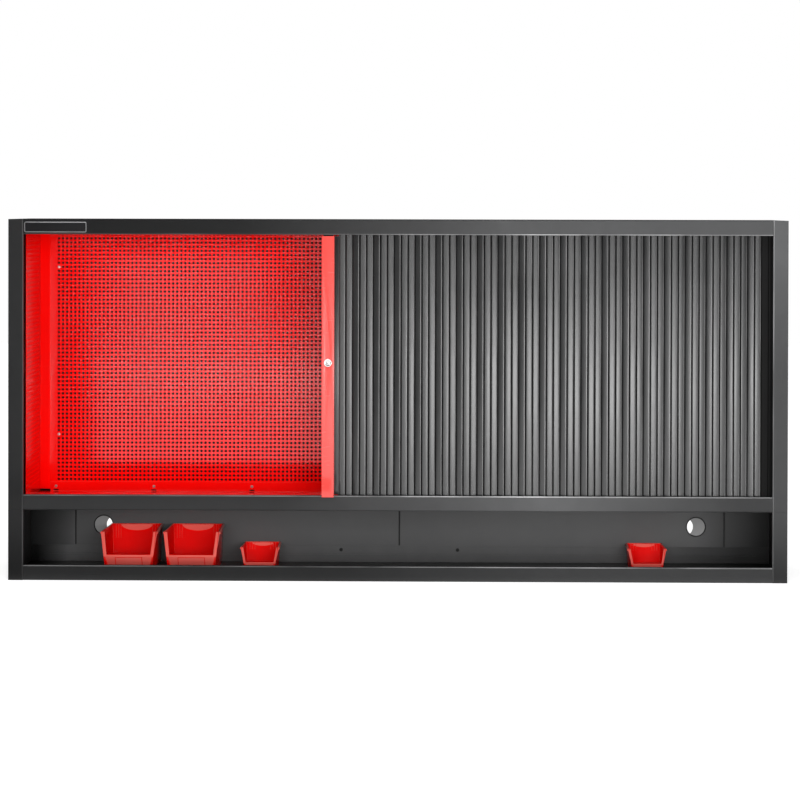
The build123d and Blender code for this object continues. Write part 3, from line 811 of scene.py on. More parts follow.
# ---- upper cabinet and shelf module: folded sheet metal ------------------------------------
@dataclass
class Carcass:
    """Folded sides, top and bottom panels and the rear sheet of the upper cabinet."""

    width: float = 1500.0
    depth: float = 300.0
    low: float = 136.0
    high: float = 696.0
    face: float = 29.0
    sheet: float = 1.2
    fold: float = 12.0
    flange: float = 15.0
    gap: float = 0.3
    bend: float = 1.9
    rear_face: float = 147.6
    wall_hole_place: float = 360.0
    wall_hole_levels: Flat = (196.0, 636.0)
    wall_hole_radius: float = 4.5
    tab: float = 0.0
    plug: float = 1.8
    plug_ease: float = 0.2
    brim: float = 1.1
    dome: float = 1.2
    post_highlight: float = 0.45

    @property
    def front(self) -> float:
        """Place of the front face."""
        return -self.depth / 2

    @property
    def opening(self) -> float:
        """Half the width between the posts."""
        return self.width / 2 - self.face

    def shade_plug(self, name: str, place: float, level: float, radius: float) -> None:
        """Close a round hole of the rear sheet with a dark plug, which paints in the shade seen
        through the hole.

        Args:
            name: Name of the piece.
            place: Middle of the hole across.
            level: Middle of the hole above the base.
            radius: Radius of the hole.
        """
        shape = Shape(name)
        inner = radius - self.plug_ease
        shape.lathe([(0.0, -self.plug), (inner, -self.plug), (inner, 0.0),
                     (radius + self.brim, 0.0), (radius + 0.9, 0.7), (radius * 0.8, 1.1),
                     (0.0, self.dome)], 16)
        shape.place(Matrix.Translation((place, self.rear_face, level)))
        shape.finish(RUNNER_PLASTIC, smooth=True)

    def side(self, name: str, hand: int) -> None:
        """Build one folded side.

        Args:
            name: The solid it stands for.
            hand: -1 for the left, 1 for the right.
        """
        outer, inner = -self.width / 2, -self.opening
        path = [(outer + self.flange, -self.front), (outer, -self.front), (outer, self.front),
                (inner, self.front), (inner, self.front + self.fold)]
        shape = Shape(f"{name}_piece")
        shape.prism([(-hand * x, y, self.low) for x, y in self.folded(path)],
                    (0.0, 0.0, self.high - self.low))
        if self.tab:
            x0, x1 = sorted(hand * (self.width / 2 - inset) for inset in (self.tab, self.sheet))
            shape.box((x0, self.front + self.fold + self.gap, self.high - self.sheet),
                      (x1, -self.front - self.sheet, self.high))
        # The bend at the post's inner lip is marked for a painted highlight line.
        shape.mark_near(lambda co: co.y < self.front + self.bend
                        and abs(co.x) < self.opening + self.bend + 0.1, self.post_highlight)
        shape.finish(CARCASS_LIT_AND_SHADED_PAINTS["left" if hand < 0 else "right"], "cabinet", (name,),
                     smooth=True)

    def folded(self, path: Sequence[Flat]) -> list[Flat]:
        """Give the closed outline of this carcass's sheet, folded along a path."""
        return folded_section(path, self.sheet, self.bend)

    def rail(self, back: float) -> list[Flat]:
        """Give the section of a front rail and the sheet behind it, as (y, height inward)."""
        return self.folded([(self.front + self.fold, self.face), (self.front, self.face),
                            (self.front, 0.0), (back, 0.0)])

    def across(self, name: str, section: Sequence[Flat],
               wings: tuple[float, float, float] | None = None) -> Shape:
        """Draw a section across between the posts.

        Args:
            name: Name of the piece.
            section: Its outline, as (y, z).
            wings: Rear end, lower and upper face of the sheet that reaches behind the posts.

        Returns:
            The shape.
        """
        half = self.opening - self.gap
        wide = self.width / 2 - self.sheet - self.gap
        shape = Shape(name)
        shape.prism([(-half, y, z) for y, z in section], (2 * half, 0.0, 0.0))
        if wings:
            back, low, high = wings
            for start, end in ((-wide, -half), (half, wide)):
                shape.box((start, self.front + self.fold + self.gap, low), (end, back, high))
        return shape

    def mark_rail(self, shape: Shape, edge: float) -> None:
        """Mark the bend along the free edge of a front rail for its painted highlight line."""
        shape.mark_near(lambda co: co.y < self.front + self.bend
                        and abs(co.z - edge) < self.bend + 0.1)

    def panel(self, name: str, inward: int) -> None:
        """Build a top or bottom panel with its front rail.

        Args:
            name: The solid it stands for.
            inward: 1 if the rail stands up from it, -1 if it hangs down.
        """
        outside = self.low if inward > 0 else self.high
        back = -self.front - self.sheet - self.gap
        edge = outside + inward * self.face
        section = [(y, outside + inward * height) for y, height in self.rail(back)]
        levels = sorted((outside, outside + inward * self.sheet))
        shape = self.across(f"{name}_piece", section, (back, *levels))
        self.mark_rail(shape, edge)
        shape.finish(CARCASS_LIT_AND_SHADED_PAINTS["top" if inward < 0 else "middle"], "cabinet", (name,),
                     smooth=True)

    def build(self) -> None:
        """Build the sheet metal of the upper cabinet."""
        for word, hand in HANDS.items():
            self.side(f"upper_{word}_side", hand)
        self.panel("upper_bottom_panel", 1)
        self.panel("upper_top_panel", -1)
        # The rear panel wears the darker track coat instead of the carcass coat: painted shade for
        # the inside seen through the perforations.
        softened("upper_rear_panel", TRACK_PAINT, 0.3)
        # Dark plugs in the wall holes paint in the shade seen through them.
        holes = [(hand * self.wall_hole_place, level)
                 for level in self.wall_hole_levels for hand in HANDS.values()]
        for number, (place, level) in enumerate(holes, start=1):
            self.shade_plug(f"wall_hole_cap_{number}", place, level, self.wall_hole_radius)


@dataclass
class ShelfModule(Carcass):
    """The open shelf under the cabinet: sides, floor, rear sheet and its cover plates."""

    low: float = 0.0
    high: float = 135.7
    tab: float = 70.0
    parting: float = 4.0
    lip: float = 16.0
    plate_face: float = 146.6
    hole_place: float = 600.0
    hole_level: float = 75.0
    hole_radius: float = 19.0
    small_hole_place: float = 118.0
    small_hole_level: float = 26.0
    small_hole_radius: float = 2.5
    seal_reach: float = 679.6
    seal_depth: Flat = (147.75, 148.65)
    seal_levels: Flat = (134.2, 135.95)
    joint_place: float = 657.0
    joint_reach: float = 1.7
    joint_depth: Flat = (147.15, 147.55)
    joint_levels: Flat = (35.0, 133.5)

    def floor(self) -> None:
        """Build the shelf floor: its front rail and the pan with a flange at its rear end."""
        parting = self.front + self.parting
        shape = self.across("shelf_floor_rail", self.rail(parting))
        self.mark_rail(shape, self.face)
        shape.finish(CARCASS_LIT_AND_SHADED_PAINTS["bottom"], "cabinet", ("shelf_floor",), smooth=True)
        pan = [(parting, 0.0), (self.rear_face, 0.0), (self.rear_face, self.lip)]
        shape = self.across("shelf_floor_pan", self.folded(pan),
                            (self.rear_face, 0.0, self.sheet))
        shape.finish(REAR_SHEET_SHADED_PAINT, "cabinet", ("shelf_floor",), smooth=True)

    def build(self) -> None:
        """Build the shelf module."""
        for word, hand in HANDS.items():
            self.side(f"lower_{word}_side", hand)
        self.floor()
        softened("shelf_back", REAR_SHEET_SHADED_PAINT, 0.25)
        for number, paint in enumerate((LEFT_END_SHADED_PAINT, SHELF_PAINT, NEAR_END_SHADED_PAINT,
                                        RIGHT_END_SHADED_PAINT), start=1):
            softened(f"cover_plate_{number}", paint, 0.3)
        self.joints()
        self.edgings()
        for node in ("module_bolts", "module_nuts"):
            softened(node, STEEL_ZINC, 0.4, smooth=True)

    def edgings(self) -> None:
        """Build the rubber edgings of the cable holes and the dark plugs in the small rear holes,
        which paint in the shade seen through them.
        """
        section = [(self.hole_radius + out, ahead) for out, ahead in
                   ((-0.9, 0.0), (-0.9, 0.7), (-0.1, 1.2), (1.2, 0.9), (1.4, 0.0))]
        for word, hand in HANDS.items():
            edging = Shape(f"cable_edging_{word}")
            edging.ring(section, 32)
            edging.place(Matrix.Translation((hand * self.hole_place, self.plate_face,
                                             self.hole_level)))
            edging.finish(RUNNER_PLASTIC, smooth=True)
            self.shade_plug(f"rear_hole_cap_{word}", hand * self.small_hole_place, self.small_hole_level,
                     self.small_hole_radius)

    def joints(self) -> None:
        """Build the dark strips behind the cover plates' joints and in the modules' seam."""
        strips = [("module_seam_seal", 0.0, self.seal_reach, self.seal_depth, self.seal_levels)]
        for word, side in (("left", -1), ("middle", 0), ("right", 1)):
            strips.append((f"cover_joint_{word}", side * self.joint_place, self.joint_reach,
                           self.joint_depth, self.joint_levels))
        for name, place, reach, depth, levels in strips:
            strip = Shape(name)
            strip.box((place - reach, depth[0], levels[0]), (place + reach, depth[1], levels[1]))
            strip.finish(RUNNER_PLASTIC)


# ---- red lining ----------------------------------------------------------------------------
@dataclass
class Lining:
    """The red lining: perforated back and side walls, floor, ceiling and their flanges."""

    opening: float = 721.0
    sheet: float = 1.0
    front: float = -106.0
    back: float = 90.0
    low: float = 149.0
    high: float = 683.0
    flange: float = 19.0
    bend: float = 1.6
    pitch: float = 8.2
    hole: float = 2.6
    first_column: float = -684.0
    columns: int = 168
    rows: int = 62
    first_row: float = 172.7
    side_columns: int = 21
    side_start: float = -96.0
    bands: int = 3
    back_low: float = 153.0
    back_high: float = 694.8
    clearance: float = 0.3
    flange_inset: float = 6.0
    edge: float = 0.12
    flange_edge: float = 0.2
    cell_weld: float = 0.2
    seam_weld: float = 0.05

    @property
    def bottom(self) -> float:
        """Lower end of the perforated fields."""
        return self.first_row - self.pitch / 2

    @property
    def top(self) -> float:
        """Upper end of the perforated fields."""
        return self.bottom + self.rows * self.pitch

    def cell(self) -> Shape:
        """Make one flat cell of the perforation: a square with a round hole.

        Returns:
            The shape.
        """
        shape = Shape("perforation_cell")
        half = self.pitch / 2
        outer, inner = [], []
        for k in range(8):
            angle = math.pi / 4 * k
            reach = half / max(abs(math.cos(angle)), abs(math.sin(angle)))
            for ring, radius in ((outer, reach), (inner, self.hole)):
                ring.append(shape.mesh.verts.new((radius * math.cos(angle),
                                                  radius * math.sin(angle), 0.0)))
        for k in range(8):
            j = (k + 1) % 8
            shape.mesh.faces.new((inner[k], outer[k], outer[j], inner[j]))
        return shape

    def perforated(self, name: str, columns: int, place: Spot, turn: float) -> bpy.types.Mesh:
        """Make a closed perforated sheet.

        Args:
            name: Name of its mesh.
            columns: Holes across.
            place: Its middle, behind its face.
            turn: Its turn about the upright axis in degrees.

        Returns:
            The mesh, in metres.
        """
        nodes = NodeFactory(f"perforated_{name}")
        pitch = nodes.value("Pitch", "Float", self.pitch * METRE)
        across = nodes.value("Columns", "Int", columns)
        upward = nodes.value("Rows", "Int", self.rows)
        sheet = nodes.value("Sheet", "Float", self.sheet * METRE)
        middle = nodes.value("Place", "Vector", [p * METRE for p in place])
        angle = nodes.value("Turn", "Rotation", [math.radians(t) for t in (90.0, 0.0, turn)])
        width, height = (nodes.math("MULTIPLY", pitch, nodes.math("SUBTRACT", count, 1.0))
                         for count in (across, upward))
        grid = nodes.node("GeometryNodeMeshGrid", Size_X=width, Size_Y=height,
                          Vertices_X=across, Vertices_Y=upward)
        cells = nodes.repeated(self.cell(), grid.outputs["Mesh"], "Cell")
        real = nodes.node("GeometryNodeRealizeInstances", Geometry=cells)
        welded = nodes.node("GeometryNodeMergeByDistance", Geometry=real.outputs[0],
                            Distance=self.cell_weld * METRE)
        offset = nodes.node("ShaderNodeCombineXYZ", Z=1.0)
        raised = nodes.node("GeometryNodeExtrudeMesh", Mesh=welded.outputs[0],
                            Offset=offset.outputs[0], Offset_Scale=sheet, Individual=False)
        flipped = nodes.node("GeometryNodeFlipFaces", Mesh=welded.outputs[0])
        both = nodes.node("GeometryNodeJoinGeometry")
        for part in (raised, flipped):
            nodes.feed(both.inputs[0], part.outputs[0])
        closed = nodes.node("GeometryNodeMergeByDistance", Geometry=both.outputs[0],
                            Distance=self.seam_weld * METRE)
        turned = nodes.node("GeometryNodeTransform", Geometry=closed.outputs[0],
                            Translation=middle, Rotation=angle)
        return nodes.run(turned.outputs[0], LINING_PAINT, name)

    def wall(self, name: str, node: str, columns: int, place: Spot, turn: float,
             margins: Sequence[tuple[Spot, Spot]]) -> None:
        """Build a perforated sheet within its plain margins.

        Args:
            name: Name of the piece.
            node: The solid it stands for.
            columns: Holes across.
            place: Middle of the perforated field, behind its face.
            turn: Its turn about the upright axis in degrees.
            margins: Lowest and highest corner of each margin.
        """
        data = self.perforated(name, columns, place, turn)
        shape = Shape(name)
        for low, high in margins:
            shape.box(low, high)
        shape.soften(self.edge, 1)
        adopt(name, shape.written(joined=data), LINING_PAINT, "cabinet", (node,))

    def build_back(self) -> None:
        """Build the perforated back panel in bands, each with its share of the margins."""
        near, far = self.back, self.back + self.sheet
        count = self.columns // self.bands
        for band in range(self.bands):
            left = self.first_column - self.pitch / 2 + band * count * self.pitch
            right = left + count * self.pitch
            start = -self.opening if band == 0 else left
            end = self.opening if band == self.bands - 1 else right
            margins = [((start, near, self.back_low), (end, far, self.bottom)),
                       ((start, near, self.top), (end, far, self.back_high))]
            margins += [((x0, near, self.bottom), (x1, far, self.top))
                        for x0, x1 in ((start, left), (right, end)) if x0 < x1]
            self.wall(f"lining_back_band_{band + 1}", "lining_back", count,
                      ((left + right) / 2, far, (self.bottom + self.top) / 2), 0.0, margins)

    def build_side(self, hand: int, node: str) -> None:
        """Build one perforated side wall with the flange that laps the back panel.

        Args:
            hand: -1 for the left, 1 for the right.
            node: The solid they stand for.
        """
        near = self.side_start - self.pitch / 2
        far = near + self.side_columns * self.pitch
        end = self.back - self.bend
        low, high = self.low + self.clearance, self.high - self.clearance
        outer = hand * (self.opening + self.sheet)
        x0, x1 = sorted((outer, hand * self.opening))
        margins = [((x0, self.front, low), (x1, end, self.bottom)),
                   ((x0, self.front, self.top), (x1, end, high)),
                   ((x0, self.front, self.bottom), (x1, near, self.top)),
                   ((x0, far, self.bottom), (x1, end, self.top))]
        self.wall(f"{node}_wall", node, self.side_columns,
                  (outer, (near + far) / 2, (self.bottom + self.top) / 2), -90.0 * hand, margins)
        path = [(self.opening + self.sheet, end), (self.opening + self.sheet, self.back),
                (self.opening - self.flange, self.back)]
        low, high = low + self.flange_inset, high - self.flange_inset
        shape = Shape(f"{node}_flange")
        shape.prism([(hand * x, y, low) for x, y in folded_section(path, self.sheet, self.bend)],
                    (0.0, 0.0, high - low))
        shape.soften(self.flange_edge, 1, 60.0)
        shape.finish(FLANGE_PAINT, "cabinet", (node,), smooth=True)

    def build(self) -> None:
        """Build the whole lining."""
        self.build_back()
        for word, hand in HANDS.items():
            self.build_side(hand, f"lining_{word}_side")
        for node in ("lining_floor", "lining_ceiling"):
            softened(node, LINING_PAINT, 0.4, 3)


@dataclass
class ScrewSet:
    """Pan-head screws with a small round recess, repeated at given places."""

    node: str
    finish: Finish
    places: list[Spot]
    backward: bool = False
    head: float = 3.0
    height: float = 1.8
    shank: float = 1.5
    length: float = 5.0
    point: float = 0.6
    tip: float = 0.6
    recess: float = 1.3

    def screw(self) -> Shape:
        """Make one screw, its head in front of the origin.

        Returns:
            The shape.
        """
        shape = Shape(f"{self.node}_screw")
        dome = [(self.head * math.cos(a), self.height * (0.35 + 0.65 * math.sin(a)))
                for a in (0.0, 0.5, 0.9, 1.2)]
        outline = [(0.0, -self.length), (self.shank * self.tip, -self.length),
                   (self.shank, self.point - self.length), (self.shank, 0.0), (self.head, 0.0),
                   *dome, (self.head * 0.30, self.height),
                   (self.head * 0.22, self.height - 1.1), (0.0, self.height - self.recess)]
        shape.lathe(outline, 16)
        return shape

    def build(self) -> None:
        """Repeat the screw at its places and let the result stand for the solid."""
        points = Shape(f"{self.node}_places")
        for place in self.places:
            points.mesh.verts.new(place)
        nodes = NodeFactory(f"screws_{self.node}")
        spots = nodes.shape(points, "Places")
        turn = nodes.value("Turn", "Rotation", [0.0, 0.0, math.pi if self.backward else 0.0])
        screws = nodes.repeated(self.screw(), spots, "Screw", Rotation=turn)
        data = nodes.run(screws, self.finish, f"{self.node}_set")
        adopt(f"{self.node}_set", data, self.finish, "cabinet", (self.node,), smooth=True)


# ---- shutter -------------------------------------------------------------------------------
@dataclass
class Curtain:
    """The slatted shutter: crowned slats whose faces lean in turn, one after another."""

    pitch: float = 13.3333
    slat: float = 11.2
    thickness: float = 8.4
    foot: float = 10.4
    crown: float = 0.24
    lean: float = 0.055
    turned: float = 3.2
    corner: float = 1.1
    low: float = 139.0
    high: float = 693.0
    steps: int = 8
    relief: float = 0.35
    hinge_front: float = 0.6
    hinge_fold: float = 3.2
    hinge_back: float = 4.0
    hinge_inset: float = 1.0
    leaning_depth: float = 2.6
    highlight_depth: float = 1.5
    front_edge: float = -113.5
    front_slats: int = 61
    front_lane: float = -130.0
    following_edge: float = 699.83
    following_slats: int = 44
    following_lane: float = -120.6

    def section(self) -> list[Flat]:
        """Give the outline of one slat in plan.

        Returns:
            The outline, once round.
        """
        half, deep = self.slat / 2, self.thickness / 2
        face = []
        for k in range(self.steps + 1):
            x = -half + self.corner + (self.slat - 2 * self.corner) * k / self.steps
            face.append((x, -deep + self.relief + self.crown * (x / half) ** 2))
        edge = face[-1][1]
        right = [(half - self.corner * (1 - math.sin(a)), edge + self.corner * (1 - math.cos(a)))
                 for a in (0.5, 1.0, QUARTER_TURN)]
        left = [(-x, y) for x, y in right[::-1]]
        return (face + right + [(half, 0.0), (self.foot / 2, deep), (-self.foot / 2, deep),
                                (-half, 0.0)] + left)

    def blank(self) -> Shape:
        """Make one slat with its face marked for the lean and its right corner for a painted
        highlight.

        Returns:
            The shape.
        """
        shape = Shape("slat_blank")
        shape.prism([(x, y, self.low) for x, y in self.section()],
                    (0.0, 0.0, self.high - self.low))
        half = self.slat / 2
        near, far = self.foot / 2 - 0.1, self.pitch - self.foot / 2 + 0.1
        hinge = [(near, self.hinge_front), (self.pitch / 2, self.hinge_fold),
                 (far, self.hinge_front), (far, self.hinge_back), (near, self.hinge_back)]
        shape.prism([(x, y, self.low + self.hinge_inset) for x, y in hinge],
                    (0.0, 0.0, self.high - self.low - 2 * self.hinge_inset))
        layer = shape.mesh.verts.layers.float.new("lean")
        for vert in shape.mesh.verts:
            if vert.co.y < -self.thickness / 2 + self.leaning_depth:
                vert[layer] = vert.co.x * METRE
        shape.mark_near(lambda co: half > co.x > half - self.corner - 0.3
                        and co.y < -self.highlight_depth)
        return shape

    def run(self, name: str, node: str, body: str, start: float, count: int, step: int,
            lane: float) -> None:
        """Build a straight run of slats.

        Args:
            name: Name of the piece.
            node: The solid it stands for.
            body: The body it moves with.
            start: Middle of its first slat.
            count: Number of slats.
            step: 1 if it runs to the right, -1 to the left.
            lane: Middle of the slats behind the origin.
        """
        nodes = NodeFactory(f"slats_{name}")
        number = nodes.value("Slats", "Int", count)
        first = nodes.value("Start", "Vector", [start * METRE, lane * METRE, 0.0])
        pitch = nodes.value("Pitch", "Float", step * self.pitch * METRE)
        lean = nodes.value("Lean", "Float", self.lean)
        offset = nodes.node("ShaderNodeCombineXYZ", X=pitch)
        line = nodes.node("GeometryNodeMeshLine", Count=number, Start_Location=first,
                          Offset=offset.outputs[0])
        slats = nodes.repeated(self.blank(), line.outputs[0], "Slat")
        turned = nodes.value("Turned", "Float", self.turned)
        index = nodes.node("GeometryNodeInputIndex").outputs[0]
        kind = nodes.math("MODULO", index, 3.0)
        dark = nodes.math("MULTIPLY", nodes.math("GREATER_THAN", kind, 1.5),
                          nodes.math("ADD", turned, 2.0))
        rank = nodes.math("SUBTRACT", kind, dark)
        ranked = nodes.node("GeometryNodeStoreNamedAttribute",
                            {"data_type": "FLOAT", "domain": "INSTANCE"},
                            Geometry=slats, Name="rank", Value=rank)
        real = nodes.node("GeometryNodeRealizeInstances", Geometry=ranked.outputs[0])
        reach, place = (nodes.node("GeometryNodeInputNamedAttribute", {"data_type": "FLOAT"},
                                   Name=name).outputs[0] for name in ("lean", "rank"))
        shift = nodes.math("MULTIPLY", nodes.math("MULTIPLY", reach, place), lean)
        move = nodes.node("ShaderNodeCombineXYZ", Y=shift)
        leaned = nodes.node("GeometryNodeSetPosition", Geometry=real.outputs[0],
                            Offset=move.outputs[0])
        data = nodes.run(leaned.outputs[0], SLAT_PLASTIC, name)
        adopt(name, data, SLAT_PLASTIC, body, (node,), smooth=True)

    def build(self) -> None:
        """Build the moving run and the slats that follow it, and dress the stored ones."""
        self.run("shutter_front_run", "curtain_front_slats", "shutter",
                 self.front_edge + self.pitch / 2, self.front_slats, 1, self.front_lane)
        self.run("shutter_following_run", "curtain_following_slats", "cabinet",
                 self.following_edge - self.pitch / 2, self.following_slats, -1,
                 self.following_lane)
        for zone in ("corner", "side", "rear_corner", "back"):
            dress(frame["nodes"][f"curtain_{zone}_slats"], STORED_SLATS)
        for end in ("bottom", "top"):
            softened(f"{end}_track_front", TRACK_PAINT, 0.3)
            dress(frame["nodes"][f"{end}_track_return"], TRACK_PAINT)
        softened("track_end_stops", RUNNER_PLASTIC, 0.3)


@dataclass
class LeadRail:
    """The red lead rail with its lock, nylon shoes and strike plate."""

    edge: float = 0.9
    link_start: float = -121.8
    strip_low: Spot = (-114.0, -127.0, 140.0)
    strip_high: Spot = (-112.2, -126.2, 692.0)

    def part(self, name: str, keep: int, finish: Finish, width: float) -> None:
        """Cut the rail at its link strip, keep one side of the cut and finish it.

        Args:
            name: Name of the piece.
            keep: -1 for the rail itself, 1 for the strip that links it to the slats.
            finish: The finish it wears.
            width: Width of its rounded edges.
        """
        shape = Shape(name)
        shape.merge_object(frame["nodes"]["lead_rail"])
        everything = [*shape.mesh.verts, *shape.mesh.edges, *shape.mesh.faces]
        cut = bmesh.ops.bisect_plane(shape.mesh, geom=everything, dist=0.001,
                                     plane_co=(self.link_start, 0.0, 0.0),
                                     plane_no=(1.0, 0.0, 0.0), clear_outer=keep < 0,
                                     clear_inner=keep > 0)
        rims = [e for e in cut["geom_cut"] if isinstance(e, bmesh.types.BMEdge)]
        bmesh.ops.holes_fill(shape.mesh, edges=rims)
        bmesh.ops.dissolve_limit(shape.mesh, angle_limit=0.01, verts=shape.mesh.verts,
                                 edges=shape.mesh.edges)
        shape.soften(width, 3)
        if keep > 0:
            shape.box(self.strip_low, self.strip_high)
        shape.finish(finish, "shutter", ("lead_rail",), smooth=True)

    def build(self) -> None:
        """Build the rail and everything on it."""
        self.part("lead_rail_piece", -1, RAIL_PAINT, self.edge)
        self.part("lead_rail_link", 1, SLAT_PLASTIC, 0.3)
        for end in ("bottom", "top"):
            softened(f"lead_rail_{end}_shoe", RUNNER_PLASTIC, 0.4)
        softened("lock_barrel", LOCK_NICKEL, 0.25, smooth=True)
        softened("lock_plug", LOCK_NICKEL, 0.12, smooth=True)
        for node in ("lock_nut", "lock_cam", "lock_cam_screw", "strike_plate"):
            softened(node, STEEL_ZINC, 0.3, smooth=True)


# ---- bins ----------------------------------------------------------------------------------
@dataclass
class StackingBin:
    """An open-front bin: thin walls, a rolled rim, a framed mouth and a leaning front."""

    node: str
    place: float
    length: float
    rim_width: float
    base_width: float
    height: float
    lip: float
    slope: float
    taper: float
    frame: float
    lean: float
    setback: float
    holder: float = 0.0
    rear: float = 146.1
    floor: float = 1.5
    wall: float = 1.8
    rim: float = 2.4
    roll: float = 4.2
    roll_sheet: float = 1.2
    post_depth: float = 2.6
    bar_depth: float = 3.2
    bar_share: float = 0.62
    gusset_share: float = 0.09
    crescent_share: float = 0.62
    rib_start: float = 9.0
    rib_pitch: float = 5.0
    rib_half: float = 0.6
    rib_share: float = 0.62
    rib_depth: float = 1.2
    ribs: int = 3
    plate_relief: float = 0.45
    holder_relief: float = 1.1
    holder_side: float = 1.6
    holder_foot: float = 1.8
    holder_head: float = 1.4
    bar_ease: float = 1.2
    rounding: float = 0.45

    def __post_init__(self) -> None:
        """Start the bin's shape."""
        self.shape = Shape(f"{self.node}_piece")

    @property
    def shoulder(self) -> float:
        """Distance behind the mouth at which the side walls stand upright."""
        return self.length * 0.3

    @property
    def inside_rear(self) -> float:
        """Distance from the mouth to the inner face of the rear wall."""
        return self.length - self.rim - self.wall

    @property
    def gusset(self) -> float:
        """Width of the gusset beside the leaning front."""
        return self.base_width * self.gusset_share

    @property
    def outward(self) -> Vector:
        """Direction that the leaning front faces."""
        return Vector((0.0, -self.lip, -self.slope)).normalized()

    def half(self, y: float, z: float) -> float:
        """Give half the outer width of the body at a place in it.

        Args:
            y: Distance behind the mouth.
            z: Height above the floor.

        Returns:
            Half the width.
        """
        top = self.rim_width / 2 - self.rim - self.taper / 2 * y / self.length
        rear_lean = self.rim_width / 2 - self.rim - self.base_width / 2
        lean = self.lean + (rear_lean - self.lean) * min(1.0, y / self.shoulder)
        return top - lean * (1.0 - z / self.height)

    def walls(self) -> None:
        """Make the thin walls, floor and leaning front, as open sheets given a thickness."""
        mesh, made = self.shape.mesh, {}
        rear, top, corner = self.length - self.rim, self.height, self.slope * 0.3

        def face(*corners: tuple[int, tuple]) -> None:
            """Add a face.

            Args:
                *corners: Its corners, each as the side and (y, z, distance inside that side).
            """
            keys = []
            for hand, (y, z, inside) in corners:
                keys.append((round(hand * (self.half(y, z) - inside), 4), round(y, 4), round(z, 4)))
                if keys[-1] not in made:
                    made[keys[-1]] = mesh.verts.new(keys[-1])
            mesh.faces.new([made[key] for key in keys])

        low_front, low_mid, low_rear = ((y, 0.0, 0.0) for y in (corner, self.shoulder, rear))
        top_front, top_mid, top_rear = ((y, top, 0.0) for y in (self.setback, self.shoulder, rear))
        lip, panel = (0.0, self.lip, 0.0), (self.slope, 0.0, self.gusset)
        for hand in HANDS.values():
            for corners in ((low_front, low_mid, top_mid), (low_front, top_mid, top_front, lip),
                            (low_mid, low_rear, top_rear, top_mid), (lip, low_front, panel)):
                face(*((hand, place) for place in corners))
        base = (low_rear, low_mid, low_front, panel)
        face((-1, low_rear), (1, low_rear), (1, top_rear), (-1, top_rear))
        face(*((-1, place) for place in base), *((1, place) for place in base[::-1]))
        face((-1, lip), (1, lip), (1, panel), (-1, panel))
        bmesh.ops.recalc_face_normals(mesh, faces=mesh.faces)
        inside = Vector((0.0, self.length / 2, self.height / 2))
        rear_face = max(mesh.faces, key=lambda f: f.calc_center_median().y)
        if rear_face.normal.dot(rear_face.calc_center_median() - inside) < 0.0:
            bmesh.ops.reverse_faces(mesh, faces=mesh.faces)
        bmesh.ops.solidify(mesh, geom=mesh.faces, thickness=self.wall)

    def mouth(self) -> None:
        """Add the frame round the open front: two posts and the rounded lip."""
        top, foot = self.height - 0.6, self.lip - 1.0
        low = self.half(0.0, self.lip)
        high = self.half(self.setback, top) + self.rim * 0.6
        for hand in HANDS.values():
            outline = ((low, 0.0, foot), (low - self.frame, 0.0, foot),
                       (high - self.frame - 1.0, self.setback, top), (high, self.setback, top))
            self.shape.prism([(hand * x, y, z) for x, y, z in outline],
                             (0.0, self.post_depth, 0.0))
        under = self.lip - self.frame * self.bar_share
        self.shape.prism([(-low, 0.0, self.lip), (self.bar_ease - low, 0.0, under),
                          (low - self.bar_ease, 0.0, under), (low, 0.0, self.lip)],
                         (0.0, self.bar_depth, 0.0))

    def rolled_rim(self) -> None:
        """Add the rolled rim along both sides and the back."""
        top, rear = self.height, self.length - self.rim
        front_half, rear_half = self.half(self.setback, top), self.half(rear, top)
        path = [(front_half, self.setback, 0.0), (rear_half, rear, 0.0),
                (-rear_half, rear, 0.0), (-front_half, self.setback, 0.0)]
        under, inner = top - 1.6, self.rim - self.roll_sheet
        arc = [(self.rim * math.sin(a), top - self.rim * (1 - math.cos(a)))
               for a in (0.0, 0.4, 0.8, 1.2, QUARTER_TURN)]
        self.shape.sweep(path, [(-self.wall, top - 0.2), *arc, (self.rim, top - self.roll),
                                (inner, top - self.roll), (inner, under), (-self.wall, under)])

    def front_plate(self) -> None:
        """Add the raised field on the leaning front, between its two gussets."""
        low = self.half(self.slope, 0.0) - self.gusset
        right = []
        for share, inset in ((0.1, 2.0), (0.97, 0.4)):
            half = self.half(0.0, self.lip) * (1 - share) + low * share - inset
            right.append((half, self.slope * share, self.lip * (1 - share)))
        left = [(-x, y, z) for x, y, z in right]
        self.shape.prism(left + right[::-1], self.outward * self.plate_relief)

    def highlight_crescent(self) -> None:
        """Add a thin raised crescent under the rear rim, marked to carry a painted highlight."""
        reach = self.half(self.inside_rear, self.height) * self.crescent_share
        top = self.height - 1.8
        arc = [(reach * math.cos(a), self.inside_rear, top - self.height * 0.16 * math.sin(a))
               for a in (math.pi * k / 12 for k in range(13))]
        self.shape.prism(arc, (0.0, -0.7, 0.0))

    def label_holder(self) -> None:
        """Add the raised frame of the label holder on the leaning front."""
        down = Vector((0.0, self.slope, -self.lip)).normalized()
        bar = self.frame * self.bar_share
        start = Vector((0.0, 0.0, self.lip)) + down * (bar + 1.0)
        tall = math.hypot(self.lip, self.slope) - bar - 5.0
        half = self.holder / 2
        for x0, x1, d0, d1 in ((-half, -half + self.holder_side, 0.0, tall),
                               (half - self.holder_side, half, 0.0, tall),
                               (-half, half, tall - self.holder_foot, tall),
                               (-half, half, 0.0, self.holder_head)):
            outline = [Vector((x, 0.0, 0.0)) + start + down * d
                       for x, d in ((x0, d0), (x1, d0), (x1, d1), (x0, d1))]
            self.shape.prism(outline, self.outward * self.holder_relief)

    def stiffeners(self) -> None:
        """Add the short upright ribs inside the rear wall."""
        rear, edge = self.inside_rear, self.half(self.length, self.height) - self.rib_start
        for hand in HANDS.values():
            for k in range(self.ribs):
                x = hand * (edge - self.rib_pitch * k)
                self.shape.box((x - self.rib_half, rear - self.rib_depth,
                                self.height * self.rib_share),
                               (x + self.rib_half, rear, self.height - 2.0))

